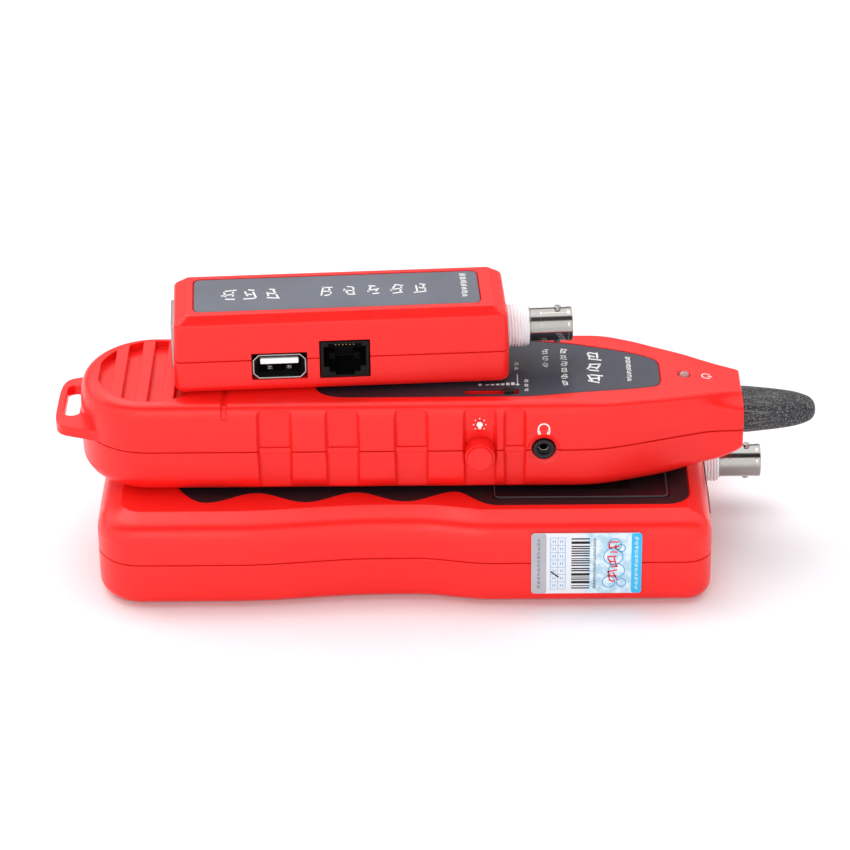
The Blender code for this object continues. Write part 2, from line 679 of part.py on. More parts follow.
def usb_socket(prefix, low, high, sign, parent=None):
    """A type A socket: a sheet-metal can with a flared lip at its mouth, and its contact tongue.

    The mouth faces along Y, to the side that sign gives.
    """
    wall = 0.4 * MM
    obj = finish_object(f"{prefix}_usb_shell", block(low, high), STEEL, parent)
    face = high[1] if sign > 0 else low[1]
    back = low[1] if sign > 0 else high[1]
    rear = back + sign * 3 * MM
    lip_low = (low[0] - USB_LIP, min(face, face - sign * MM), low[2] - USB_LIP)
    lip_high = (high[0] + USB_LIP, max(face, face - sign * MM), high[2] + USB_LIP)
    add(obj, "lip", block(lip_low, lip_high))
    start = (low[0] + wall, min(face + sign * MM, rear), low[2] + wall)
    end = (high[0] - wall, max(face + sign * MM, rear), high[2] - wall)
    cut(obj, "mouth", block(start, end))
    tongue_low = (low[0] + 1.1 * MM, min(face - sign * MM, rear + sign * GAP), high[2] - 2.6 * MM)
    tongue_high = (high[0] - 1.1 * MM, max(face - sign * MM, rear + sign * GAP), high[2] - 0.7 * MM)
    finish_object(f"{prefix}_usb_tongue", block(tongue_low, tongue_high), WHITE, parent)


def port_cut(name, low, high, bm):
    """A clearance block round a connector, wider where a socket has a lip."""
    margin = GAP + (USB_LIP if name == "usb" else 0.0)
    grown_low = [low[0] - margin, low[1] - GAP, low[2] - margin]
    grown_high = [high[0] + margin, high[1] + GAP, high[2] + margin]
    block(grown_low, grown_high, bm)


def tester_connectors():
    """The connectors on the tester's nose end and on its back side."""
    x, y, z = TESTER_BNC_PLACE
    bnc_connector("tester", TESTER_BNC_PLACE, (x - 10 * MM, y - 7 * MM, z - 6.6 * MM),
                  (x + 1.5 * MM, y + 7 * MM, z + 6.6 * MM))
    low, high = TESTER_PORTS["rj45"]
    jack("tester_rj45_jack", low, high, (0, 1), (11.9 * MM, 7.0 * MM), STEEL)
    low, high = TESTER_PORTS["rj11"]
    jack("tester_rj11_jack", low, high, (0, 1), (9.8 * MM, 6.2 * MM), BLACK)
    low, high = TESTER_PORTS["usb"]
    usb_socket("tester", low, high, 1)


# ---------------------------------------------------------------- tone probe

def probe_half_width(x):
    """Half the probe's width at its parting line, tapering to the nose."""
    stations = [(45, 22.5), (56, 22.1), (65, 19.9), (73.5, 17.1), (82, 14.3), (88, 12.6), (98, 11.9)]
    return stations_curve(stations, x / MM) * MM


def probe_top(x):
    """Height of the probe's top face, falling to the nose."""
    return PROBE_HEIGHT - stations_curve(PROBE_TOP_DROP, x / MM) * MM


def probe_floor(x):
    """Height of the probe's underside, rising at the nose."""
    return stations_curve([(74, 0), (83, 1.1), (91, 2.7), (98, 6.2)], x / MM) * MM


def probe_outline():
    """The probe seen from above at its parting line."""
    half = []
    for angle in quarter(6):
        x = PROBE_TAIL_X + PROBE_TAIL_LENGTH * (1 - math.cos(angle))
        half.append((x, -PROBE_HALF_WIDTH * math.sin(angle)))
    half[0] = (PROBE_TAIL_X + 0.1 * MM, -2 * MM)
    for x in (-50, -25, 0, 25, 40, 50, 56, 61, 67, 73, 79, 84, 88, 92):
        half.append((x * MM, -probe_half_width(x * MM)))
    half.append((PROBE_NOSE_X, -probe_half_width(PROBE_NOSE_X)))
    return mirrored(half)


def probe_inset(distance, lean):
    """The outline moved inwards; past its straight run it narrows, and leans back at the nose."""
    moved = []
    outline = probe_outline()
    for (x, y), (inner_x, inner_y) in zip(outline, inset(outline, distance)):
        if x > PROBE_TAPER_X:
            share = (x - PROBE_TAPER_X) / (PROBE_NOSE_X - PROBE_TAPER_X)
            inner_x = x - lean * distance * share
            inner_y = y * (1 - distance / probe_half_width(x))
        moved.append((inner_x, inner_y))
    return moved


def probe_upper_ring(distance, level, lean=1.0, crisp=0.0):
    """A ring of the upper shell; a crisp one rounds less past the taper, and the nose is drawn in."""
    rim = PROBE_PARTING + GAP / 2
    share = (level - rim) / (PROBE_HEIGHT - rim)
    ring = []
    for x, y in probe_inset(distance, lean):
        facet = stations_curve(PROBE_NOSE_FACET, x / MM) * MM
        given_back = crisp * distance * smoothstep(45 * MM, 62 * MM, x)
        drawn_in = facet * smoothstep(0.6, 1.0, share) - given_back
        ring.append((x, y * (1 - drawn_in / probe_half_width(x)), rim + share * (probe_top(x) - rim)))
    return ring


def probe_lower_ring(distance, level):
    """A ring of the lower shell, over the rising underside."""
    rim = PROBE_PARTING - GAP / 2
    share = level / rim
    ring = []
    for x, y in probe_inset(distance, 1.0):
        ring.append((x, y, probe_floor(x) + share * (rim - probe_floor(x))))
    return ring


def lanyard_loop():
    """The flat loop on the tail, rooted in the tail's wall."""
    outline = [(x * MM, y * MM) for x, y in LOOP_FRONT]
    for y in LOOP_ROOT:
        bow = 1 - math.sqrt(1 - (y * MM / PROBE_HALF_WIDTH) ** 2)
        outline.append((PROBE_TAIL_X + PROBE_TAIL_LENGTH * bow + MM, y * MM))
    outline += [(x * MM, y * MM) for x, y in LOOP_BACK]
    low = PROBE_PARTING + GAP / 2
    return prism(outline, low, low + LOOP_THICKNESS)


def lanyard_hole():
    """The cord hole, between the loop's bar and the tail."""
    outline = rectangle(4.8 * MM, 18 * MM, 2.3 * MM, (-94.8 * MM, 2.8 * MM))
    return plate(outline, PROBE_PARTING - 1 * MM, PROBE_PARTING + 5 * MM)


def probe_top_cover(parent):
    """Upper shell of the probe, with the lanyard loop and every opening of its top."""
    rim = PROBE_PARTING + GAP / 2
    sides = [(0.0, rim), (0.3, 24.5 * MM), (1.0, 26.5 * MM), (2.0, 27.6 * MM), (2.8, 28.0 * MM)]
    outside = [probe_upper_ring(distance * MM, level, 0.25, 0.45) for distance, level in reversed(sides)]
    ceiling = PROBE_HEIGHT - 2.8 * MM
    inside = [probe_upper_ring(PROBE_WALL, rim), probe_upper_ring(PROBE_WALL + 0.3 * MM, 23 * MM),
              probe_upper_ring(PROBE_WALL + 2.2 * MM, ceiling)]
    cover = tray("probe_top_cover", RED, outside, inside, parent)
    add(cover, "lanyard_loop", lanyard_loop())
    cut(cover, "lanyard_hole", lanyard_hole())
    cut(cover, "vents", vent_slots())
    cut(cover, "cross_groove", block((-50.6 * MM, -30 * MM, PROBE_HEIGHT - 0.6 * MM),
                                     (-49.0 * MM, 30 * MM, PROBE_HEIGHT + 2 * MM)))
    cut(cover, "label_recess", probe_label_mesh(GAP, -LABEL_DEPTH, 2 * MM))
    slot = block((SLIDER_TRACK[0], SLIDER_Y - 1.4 * MM, PROBE_HEIGHT - 1.9 * MM),
                 (SLIDER_TRACK[1], SLIDER_Y + 1.4 * MM, PROBE_HEIGHT + 2 * MM))
    cut(cover, "slider_track", slot)
    slit = block((SLIDER_TRACK[0] + GAP, SLIDER_Y - 0.9 * MM, PROBE_HEIGHT - 9 * MM),
                 (SLIDER_TRACK[1] - GAP, SLIDER_Y + 0.9 * MM, PROBE_HEIGHT))
    cut(cover, "slider_slit", slit)
    cut(cover, "led_hole", rod(1.8 * MM, 15 * MM, 30 * MM, origin=(POWER_LED_X, 0.0, 0.0)))
    screw_boss(cover, PROBE_SCREWS, 2.9 * MM, rim + GAP, lambda x: probe_top(x) - 2 * MM)
    screw_holes(cover, PROBE_SCREWS, [(SCREW_SHANK_RADIUS + GAP, 10 * MM, 20 * MM)])
    return cover


def vent_slots():
    """Recessed slots over the sounder, kept within an oval."""
    bm = bmesh.new()
    centre_x, centre_y = VENT_CENTRE
    reach, half_width = VENT_RADII
    low = PROBE_HEIGHT - VENT_DEPTH
    for i in range(-2, 3):
        middle = centre_x + i * VENT_PITCH + 0.9 * MM
        half = []
        for step in range(5):
            x = middle - VENT_WIDTH / 2 + VENT_WIDTH * step / 4
            share = min(0.97, abs(x - centre_x) / reach)
            half.append((x, centre_y - half_width * math.sqrt(1.0 - share * share)))
        plate(mirrored(half), low, PROBE_HEIGHT + 2 * MM, bm)
    return bm


def probe_label_outline():
    """The label on the probe's face, square at the tail and drawn to a point at the nose."""
    half = [(-24.4, -8.0), (-23.6, -12.0), (-21.4, -14.8), (-17.6, -16.2), (-12.0, -16.3)]
    half += [(x, -16.3) for x in (0.0, 15.0, 30.0, 36.0)]
    half += [(42.0, -15.6), (50.0, -14.2), (56.0, -12.9), (62.0, -11.6), (68.0, -9.9)]
    half += [(71.8, -8.3), (74.0, -5.6)]
    return mirrored([(x * MM, y * MM) for x, y in half])


def probe_label_mesh(growth, low, high):
    """A sheet that follows the top face, over the label's outline."""
    outline = inset(probe_label_outline(), -growth)
    rings = [[(x, y, probe_top(x) + level) for x, y in outline] for level in (low, high)]
    return skin(bmesh.new(), rings)


def probe_bottom_cover(parent):
    """Lower shell of the probe, with its battery door cut free."""
    rim = PROBE_PARTING - GAP / 2
    foot = PROBE_FOOT_RADIUS
    outside = []
    for angle in quarter(3):
        level = foot - foot * math.cos(angle)
        outside.append(probe_lower_ring(foot - foot * math.sin(angle), level))
    outside.append(probe_lower_ring(0.0, rim))
    inside = [probe_lower_ring(PROBE_WALL, rim), probe_lower_ring(PROBE_WALL, 5 * MM),
              probe_lower_ring(PROBE_WALL + 2.6 * MM, PROBE_WALL)]
    cover = tray("probe_bottom_cover", RED, outside, inside, parent)
    door = tray("probe_battery_door", RED, outside, inside, parent)
    low = (-2 * PROBE_NOSE_X, -PROBE_DOOR_HALF_WIDTH, -5 * MM)
    high = (PROBE_DOOR_END_X, PROBE_DOOR_HALF_WIDTH, 4.2 * MM)
    keep(door, "door_outline", block(low, high))
    grips = bmesh.new()
    for i in range(4):
        x = (-84 + 3 * i) * MM
        block((x, -7 * MM, -1 * MM), (x + 1.2 * MM, 7 * MM, 0.6 * MM), grips)
    cut(door, "thumb_grips", grips)
    low = (low[0], low[1] - GAP, low[2])
    high = (high[0] + GAP, high[1] + GAP, high[2] + GAP)
    cut(cover, "door_opening", block(low, high))
    screw_boss(cover, PROBE_SCREWS, 3.5 * MM, 1.2 * MM, rim - GAP)
    screw_holes(cover, PROBE_SCREWS,
                [(SCREW_HEAD_RADIUS + GAP, -1 * MM, 3 * MM), (SCREW_SHANK_RADIUS + GAP, 3 * MM, 20 * MM)])
    return cover


def cut_probe_sides(covers):
    """Grip recesses on both sides, the button and earphone holes and the nose opening."""
    for cover in covers:
        recesses = bmesh.new()
        for start, end in GRIP_RECESSES_X:
            for side in (-1, 1):
                near = side * (PROBE_HALF_WIDTH - GRIP_RECESS_DEPTH)
                far = side * (PROBE_HALF_WIDTH + 5 * MM)
                low = (start * MM, min(near, far), -1 * MM)
                high = (end * MM, max(near, far), 27.2 * MM)
                block(low, high, recesses)
        cut(cover, "grip_recesses", recesses)
        holes = bmesh.new()
        x, z = BUTTON_PLACE
        rod(BUTTON_RADIUS + 0.5 * MM, -26 * MM, -18 * MM, "Y", (x, 0.0, z), bm=holes)
        x, z = EARPHONE_PLACE
        rod(3.1 * MM + GAP, -26 * MM, -18 * MM, "Y", (x, 0.0, z), bm=holes)
        cut(cover, "side_holes", holes)
        cut(cover, "nose_opening", tip_mesh(GAP, 90 * MM, 101 * MM))


def tip_section(x, growth):
    """Half-width and half-height of the antenna tip at x."""
    width = stations_curve(TIP_HALF_WIDTHS, x / MM)
    height = stations_curve(TIP_HALF_HEIGHTS, x / MM)
    return width * MM + growth, height * MM + growth


def tip_mesh(growth, start, end):
    """The antenna tip as a soft-cornered taper along X."""
    bm = bmesh.new()
    segments = ROUND_SEGMENTS
    stops = [x * MM for x in (100, 103, 106, 109, 112, 115, 117, 118.4, 119.3) if start < x * MM < end]
    loops = []
    for x in (start, *stops, end):
        width, height = tip_section(x, growth)
        loop = []
        for i in range(segments):
            angle = 2 * math.pi * i / segments
            across, up = math.cos(angle), math.sin(angle)
            across = math.copysign(abs(across) ** 0.8, across)
            up = math.copysign(abs(up) ** 0.8, up)
            loop.append(bm.verts.new((x, width * across, TIP_AXIS_Z + height * up)))
        loops.append(loop)
    for low, high in zip(loops, loops[1:]):
        for i in range(segments):
            j = (i + 1) % segments
            bm.faces.new((low[i], low[j], high[j], high[i]))
    bm.faces.new(reversed(loops[0]))
    bm.faces.new(loops[-1])
    return bm


def probe_tip(parent):
    """The rubber antenna tip with its shoulder inside the nose, and the core in it."""
    tip = finish_object("probe_antenna_tip", tip_mesh(0.0, 92 * MM, TIP_END_X - 0.2 * MM), RUBBER, parent)
    low = (92 * MM, -9 * MM, TIP_AXIS_Z - 3.8 * MM)
    high = (95.1 * MM, 9 * MM, TIP_AXIS_Z + 3.8 * MM)
    add(tip, "shoulder", soft_block(low, high, 0.5 * MM))
    axis = (0.0, 0.0, TIP_AXIS_Z)
    cut(tip, "core_bore", rod(1.9 * MM, 90 * MM, 112 * MM, "X", axis, 12))
    core = rod(1.6 * MM, 84 * MM, 111.6 * MM, "X", axis, 12)
    finish_object("probe_antenna_core", core, STEEL, parent)


def probe_controls(parent):
    """The torch button, the sensitivity slider and the parts that they act on."""
    x, z = BUTTON_PLACE
    profile = [(0.0, -27.0 * MM), (BUTTON_RADIUS - 0.5 * MM, -27.0 * MM),
               (BUTTON_RADIUS, -26.5 * MM), (BUTTON_RADIUS, -20.1 * MM), (4.8 * MM, -20.1 * MM),
               (4.8 * MM, -19.1 * MM), (1.5 * MM, -19.1 * MM), (1.5 * MM, -17.0 * MM), (0.0, -17.0 * MM)]
    finish_object("torch_button", turned(profile, "Y"), RED, parent, (x, 0.0, z))
    low = (-1.4 * MM, -1.1 * MM, PROBE_HEIGHT - 1.5 * MM)
    high = (1.4 * MM, 1.1 * MM, PROBE_HEIGHT + 0.7 * MM)
    place = (SLIDER_REST_X, SLIDER_Y, 0.0)
    slider = finish_object("sensitivity_slider", block(low, high), BLACK, parent, place)
    stem = block((-1.2 * MM, -0.55 * MM, 20.5 * MM), (1.2 * MM, 0.55 * MM, PROBE_HEIGHT - 1 * MM))
    modify(slider, "stem", stem, "UNION", place)
    bm = block((13 * MM, -19.5 * MM, 18.6 * MM), (38 * MM, -13.9 * MM, 23.2 * MM))
    pot = finish_object("sensitivity_pot", bm, STEEL, parent)
    track = block((SLIDER_TRACK[0], SLIDER_Y - 0.9 * MM, 19.5 * MM),
                  (SLIDER_TRACK[1] + MM, SLIDER_Y + 0.9 * MM, 30 * MM))
    cut(pot, "lever_slot", track)
    x, z = EARPHONE_PLACE
    profile = [(1.75 * MM, -22.9 * MM), (3.1 * MM, -22.9 * MM), (3.1 * MM, -18.0 * MM),
               (2.9 * MM, -18.0 * MM), (2.9 * MM, -10.0 * MM), (0.0, -10.0 * MM)]
    profile = [(0.0, -12.0 * MM), (1.75 * MM, -12.0 * MM), *profile]
    finish_object("earphone_jack", turned(profile, "Y", (x, 0.0, z)), BLACK, parent)


def probe_electronics(parent):
    """Board, sounder, battery and clip, power lamp and torch lamp."""
    bm = block((-22 * MM, -16.5 * MM, 8.9 * MM), (68 * MM, 16.5 * MM, 10.5 * MM))
    board = finish_object("probe_board", bm, BOARD, parent)
    chips = block((-12 * MM, 0.0, 10 * MM), (0.0, 8 * MM, 12 * MM))
    block((48 * MM, -4 * MM, 10 * MM), (56 * MM, 4 * MM, 12.4 * MM), chips)
    x = BUTTON_PLACE[0]
    block((x - 3 * MM, -15.2 * MM, 10 * MM), (x + 3 * MM, -11 * MM, 15.9 * MM), chips)
    add(board, "chips", chips)
    cut(board, "screw_notches", rod(4.2 * MM, 5 * MM, 15 * MM, origin=(76 * MM, 0.0, 0.0), segments=12))
    place = (VENT_CENTRE[0], 0.0, 0.0)
    profile = [(0.0, 20.8 * MM), (8 * MM, 20.8 * MM), (13 * MM, 22.2 * MM), (13 * MM, 24.4 * MM),
               (9 * MM, 24.8 * MM), (0.0, 24.2 * MM)]
    finish_object("probe_sounder", turned(profile, origin=place), BLACK, parent)
    bm = soft_block((-83.5 * MM, -13 * MM, 2.4 * MM), (-38 * MM, 13 * MM, 19.4 * MM), 2 * MM)
    battery = finish_object("probe_battery", bm, CELL, parent)
    studs = bmesh.new()
    for y in (-6.4 * MM, 6.4 * MM):
        rod(2.8 * MM, -40 * MM, -35.4 * MM, "X", (0.0, y, 11 * MM), 12, studs)
    add(battery, "terminal_studs", studs)
    bm = soft_block((-34.9 * MM, -12 * MM, 5.2 * MM), (-32.3 * MM, 12 * MM, 17 * MM), 0.5 * MM)
    finish_object("probe_battery_clip", bm, BLACK, parent)
    top = probe_top(POWER_LED_X)
    profile = [(0.0, top + 0.9 * MM), (1.0 * MM, top + 0.6 * MM), (1.5 * MM, top - 0.2 * MM),
               (1.5 * MM, top - 3.8 * MM), (1.9 * MM, top - 3.8 * MM), (1.9 * MM, top - 4.6 * MM),
               (0.0, top - 4.6 * MM)]
    finish_object("power_lamp", turned(profile, origin=(POWER_LED_X, 0.0, 0.0), segments=16), CLEAR, parent)


def probe_face_label(parent):
    """The printed label on the probe's face."""
    bm = probe_label_mesh(0.0, GAP - LABEL_DEPTH, GAP - LABEL_DEPTH + LABEL_THICKNESS)
    label = finish_object("probe_face_label", bm, LABEL_INK, parent)
    slot = block((SLIDER_TRACK[0], SLIDER_Y - 1.35 * MM, PROBE_HEIGHT - 3 * MM),
                 (SLIDER_TRACK[1], SLIDER_Y + 1.35 * MM, PROBE_HEIGHT + 3 * MM))
    cut(label, "slider_slot", slot)


def build_probe():
    """Build the tone probe on the tester's face."""
    base = TESTER_HEIGHT + GAP
    parent = frame_empty("tone_probe", (*PROBE_PLACE, base))
    covers = [probe_top_cover(parent), probe_bottom_cover(parent)]
    cut_probe_sides(covers)
    probe_face_label(parent)
    probe_tip(parent)
    probe_controls(parent)
    probe_electronics(parent)
    case_screws("probe", PROBE_SCREWS, 3 * MM - GAP, 18.5 * MM, parent)


# ---------------------------------------------------------------- remote adapter

def adapter_ring(along, across, z, radius=2.2 * MM):
    """A ring of the adapter, drawn in by two amounts at its ends and sides."""
    outline = rectangle(ADAPTER_LENGTH - 2 * along, ADAPTER_WIDTH - 2 * across, radius)
    return at_height(outline, z)


ADAPTER_PORTS = {
    "rj45": ((-48.0 * MM, -8.0 * MM, 5.2 * MM), (-31.5 * MM, 8.0 * MM, 18.6 * MM)),
    "usb": ((-24.2 * MM, -14.9 * MM, 5.3 * MM), (-11.1 * MM, -1.2 * MM, 11.0 * MM)),
    "rj11": ((-6.0 * MM, -14.95 * MM, 4.1 * MM), (7.7 * MM, -1.5 * MM, 15.3 * MM)),
}


def adapter_covers(parent):
    """Both shells of the adapter."""
    top, wall = ADAPTER_HEIGHT, ADAPTER_WALL
    rim = ADAPTER_PARTING + GAP / 2
    draft = 0.3 * MM
    outside = [adapter_ring(3.9 * MM, 2.9 * MM, top, 1.2 * MM), adapter_ring(3.7 * MM, 2.6 * MM, top - 0.12 * MM, 1.2 * MM),
               adapter_ring(draft + 0.4 * MM, draft + 0.15 * MM, top - 2.25 * MM),
               adapter_ring(draft, draft, top - 2.8 * MM), adapter_ring(0.0, 0.0, rim)]
    inside = [adapter_ring(wall, wall, rim, 1.5 * MM), adapter_ring(wall + draft, wall + draft, top - 4 * MM, 1.5 * MM),
              adapter_ring(wall + 3 * MM, wall + 2.4 * MM, top - 2.2 * MM, 1.5 * MM)]
    upper = tray("adapter_top_cover", RED, outside, inside, parent)
    length, width = ADAPTER_LABEL
    recess = rectangle(length + 2 * GAP, width + 2 * GAP, 2.2 * MM, ADAPTER_LABEL_PLACE)
    cut(upper, "label_recess", plate(recess, top - LABEL_DEPTH, top + 2 * MM))
    rim = ADAPTER_PARTING - GAP / 2
    foot = 2.3 * MM
    outside = []
    for angle in quarter(3):
        reach = foot - foot * math.sin(angle)
        outside.append(adapter_ring(reach, reach, foot - foot * math.cos(angle)))
    outside.append(adapter_ring(0.0, 0.0, rim))
    inside = [adapter_ring(wall, wall, rim, 1.5 * MM), adapter_ring(wall, wall, 3 * MM, 1.5 * MM),
              adapter_ring(wall + 1.2 * MM, wall + 1.2 * MM, wall, 1.5 * MM)]
    lower = tray("adapter_bottom_cover", RED, outside, inside, parent)
    for cover in (upper, lower):
        ports = bmesh.new()
        rod(BNC_NECK_RADIUS + GAP, -2 * MM, 9 * MM, "X", ADAPTER_BNC_PLACE, 18, ports)
        for name, (low, high) in ADAPTER_PORTS.items():
            port_cut(name, low, high, ports)
        cut(cover, "ports", ports)
    screw_boss(lower, ADAPTER_SCREWS, 3.3 * MM, 1 * MM, rim - GAP)
    screw_holes(lower, ADAPTER_SCREWS,
                [(SCREW_HEAD_RADIUS + GAP, -1 * MM, 2.8 * MM), (SCREW_SHANK_RADIUS + GAP, 2.8 * MM, 20 * MM)])
    screw_boss(upper, ADAPTER_SCREWS, 2.9 * MM, ADAPTER_PARTING + GAP, top - 2 * MM)
    screw_holes(upper, ADAPTER_SCREWS, [(SCREW_SHANK_RADIUS + GAP, 5 * MM, 17 * MM)])


def build_adapter():
    """Build the remote adapter on the probe's face."""
    base = TESTER_HEIGHT + GAP + PROBE_HEIGHT + GAP
    parent = frame_empty("remote_adapter", (*ADAPTER_PLACE, base), ADAPTER_YAW)
    adapter_covers(parent)
    low = ADAPTER_HEIGHT - LABEL_DEPTH + GAP
    bm = plate(rectangle(*ADAPTER_LABEL, 2.0 * MM, ADAPTER_LABEL_PLACE), low, low + LABEL_THICKNESS)
    finish_object("adapter_face_label", bm, LABEL_INK, parent)
    x, y, z = ADAPTER_BNC_PLACE
    bnc_connector("adapter", ADAPTER_BNC_PLACE, (x - 10.5 * MM, y - 7 * MM, z - 6.6 * MM),
                  (x + 0.6 * MM, y + 7 * MM, z + 6.6 * MM), parent)
    low, high = ADAPTER_PORTS["rj45"]
    jack("adapter_rj45_jack", low, high, (0, -1), (11.9 * MM, 7.0 * MM), STEEL, parent)
    low, high = ADAPTER_PORTS["rj11"]
    jack("adapter_rj11_jack", low, high, (1, -1), (9.8 * MM, 6.2 * MM), BLACK, parent)
    low, high = ADAPTER_PORTS["usb"]
    usb_socket("adapter", low, high, -1, parent)
    bm = block((-22 * MM, 0.6 * MM, 2.2 * MM), (22 * MM, 11.2 * MM, 3.8 * MM))
    finish_object("adapter_board", bm, BOARD, parent)
    case_screws("adapter", ADAPTER_SCREWS, 2.8 * MM - GAP, 16 * MM, parent)


def build_tester():
    """Build the line tester round the world origin."""
    cut_tester_ports([tester_rear_cover(), tester_front_cover()])
    tester_label_and_window()
    tester_keys()
    tester_boards()
    tester_batteries()
    tester_connectors()
    case_screws("tester", both_sides(TESTER_SCREWS), 3 * MM - GAP, 20 * MM)
    inspection_sticker()


def main():
    clear_scene()
    build_tester()
    build_probe()
    build_adapter()


main()
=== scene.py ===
"""Looks of the cable tone probe kit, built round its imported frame.

Shapes are worked out in millimetres, each in the space of the device it belongs to, and
laid over the frame's own nodes.
"""
import math
import random

import bmesh
import bpy
from mathutils import Matrix, Vector


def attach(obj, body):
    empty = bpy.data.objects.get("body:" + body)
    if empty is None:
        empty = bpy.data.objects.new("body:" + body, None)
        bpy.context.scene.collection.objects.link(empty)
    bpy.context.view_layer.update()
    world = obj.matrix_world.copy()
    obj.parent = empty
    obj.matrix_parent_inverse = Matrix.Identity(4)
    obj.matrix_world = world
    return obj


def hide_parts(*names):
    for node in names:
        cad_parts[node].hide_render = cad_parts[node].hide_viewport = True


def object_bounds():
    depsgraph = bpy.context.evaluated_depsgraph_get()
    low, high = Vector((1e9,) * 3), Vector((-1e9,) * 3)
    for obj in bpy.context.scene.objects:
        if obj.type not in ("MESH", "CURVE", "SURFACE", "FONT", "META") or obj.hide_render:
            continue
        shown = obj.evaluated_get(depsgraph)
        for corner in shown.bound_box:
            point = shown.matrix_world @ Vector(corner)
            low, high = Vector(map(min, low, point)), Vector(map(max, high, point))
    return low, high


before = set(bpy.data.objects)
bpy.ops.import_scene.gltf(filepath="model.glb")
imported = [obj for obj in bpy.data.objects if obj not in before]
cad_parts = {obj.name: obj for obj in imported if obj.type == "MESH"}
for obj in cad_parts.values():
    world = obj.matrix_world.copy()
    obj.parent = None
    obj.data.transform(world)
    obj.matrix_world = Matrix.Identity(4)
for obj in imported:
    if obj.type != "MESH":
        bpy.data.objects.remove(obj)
cad_low, cad_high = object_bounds()

MM = 0.001
GAP = 0.3  # clearance round a part in its opening
CLEAR = Vector((GAP, GAP, GAP))
ROUND = 56  # points round a turned part
SHARP = 34.0  # edges sharper than this, in degrees, stay crisp
NECK_HOLE = 6.5  # hole for a coaxial neck
LIP = 0.9  # how far a seam's inner lip reaches over the seam
ADAPTER_YAW = math.radians(3.4)


# ---------------------------------------------------------------- frame readings

def extent(node, device=Matrix.Identity(4)):
    """A CAD node's lowest and highest corner in a device's own space, in millimetres."""
    inverse = device.inverted()
    points = [inverse @ vertex.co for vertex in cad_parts[node].data.vertices]
    low = Vector([min(point[i] for point in points) for i in range(3)])
    high = Vector([max(point[i] for point in points) for i in range(3)])
    return low / MM, high / MM


def middle(node, device=Matrix.Identity(4)):
    """The middle of a CAD node's box in a device's own space."""
    low, high = extent(node, device)
    return [(a + b) / 2 for a, b in zip(low, high)]


TESTER = Matrix.Identity(4)
tester_low, tester_high = extent("tester_front_cover")
TESTER_LENGTH = tester_high.x - tester_low.x
TESTER_WIDTH = tester_high.y - tester_low.y
TESTER_TOP = tester_high.z
TESTER_PARTING = tester_low.z - GAP / 2

probe_low, probe_high = extent("probe_bottom_cover")
PROBE_TAIL = -92.4
PROBE_NOSE = 97.8
PROBE_HALF_WIDTH = (probe_high.y - probe_low.y) / 2
PROBE_ORIGIN = Vector((probe_low.x - PROBE_TAIL, (probe_low.y + probe_high.y) / 2, probe_low.z))
PROBE = Matrix.Translation(PROBE_ORIGIN * MM)
PROBE_TOP = 28.0
PROBE_PARTING = 13.5

adapter_low, adapter_high = extent("adapter_bottom_cover")
ADAPTER_CENTRE = (adapter_low + adapter_high) / 2
ADAPTER = (Matrix.Translation(Vector((ADAPTER_CENTRE.x, ADAPTER_CENTRE.y, adapter_low.z)) * MM)
           @ Matrix.Rotation(ADAPTER_YAW, 4, "Z"))
ADAPTER_LOW, ADAPTER_HIGH = extent("adapter_top_cover", ADAPTER)
ADAPTER_LENGTH = ADAPTER_HIGH.x - ADAPTER_LOW.x
ADAPTER_WIDTH = ADAPTER_HIGH.y - ADAPTER_LOW.y
ADAPTER_TOP = ADAPTER_HIGH.z
ADAPTER_PARTING = ADAPTER_LOW.z - GAP / 2


# ---------------------------------------------------------------- outlines and solids

def smooth(start, end, value):
    """Ease from 0 to 1 between two values."""
    t = min(1.0, max(0.0, (value - start) / (end - start)))
    return t * t * (3.0 - 2.0 * t)


def eased(stations, x):
    """Read a value at x, eased through its stations."""
    if x <= stations[0][0]:
        return stations[0][1]
    for i, ((x0, y0), (x1, y1)) in enumerate(zip(stations, stations[1:])):
        if x <= x1:
            chord = (y1 - y0) / (x1 - x0)
            before = stations[i - 1] if i else None
            after = stations[i + 2] if i + 2 < len(stations) else None
            slope0 = (y1 - before[1]) / (x1 - before[0]) if before else 0.0
            slope1 = (after[1] - y0) / (after[0] - x0) if after else chord
            width = x1 - x0
            t = (x - x0) / width
            rise = (3.0 - 2.0 * t) * t * t * (y1 - y0)
            bend = t * (1.0 - t) * ((1.0 - t) * slope0 - t * slope1) * width
            return y0 + rise + bend
    return stations[-1][1]


def steps(low, high, count):
    """Evenly spaced values from low to high, ends included."""
    return [low + (high - low) * i / count for i in range(count + 1)]


def quarter(count):
    """Angles of a quarter turn, ends included."""
    return steps(0.0, math.pi / 2, count)


def rounding(radius, count):
    """An edge rounding's steps, as how far in and how high each one is."""
    return [(radius * (1 - math.sin(a)), radius * (1 - math.cos(a))) for a in quarter(count)]


def mirrored(half):
    """Close a half outline, given from tail to nose at negative y, on both end points."""
    tail = (half[0][0], 0.0)
    nose = (half[-1][0], 0.0)
    return [tail, *half, nose, *[(x, -y) for x, y in reversed(half)]]


def rounded_run(points, count=4):
    """Ease a run of points with a few steps through each corner."""
    made = [points[0]]
    for before, here, after in zip(points, points[1:], points[2:]):
        start = (Vector(before) + Vector(here)) / 2
        stop = (Vector(here) + Vector(after)) / 2
        for t in steps(0.0, 1.0, count)[:-1]:
            blend = start * (1 - t) ** 2 + Vector(here) * 2 * t * (1 - t) + stop * t ** 2
            made.append(tuple(blend))
    made.append(tuple(stop))
    made.append(points[-1])
    return made


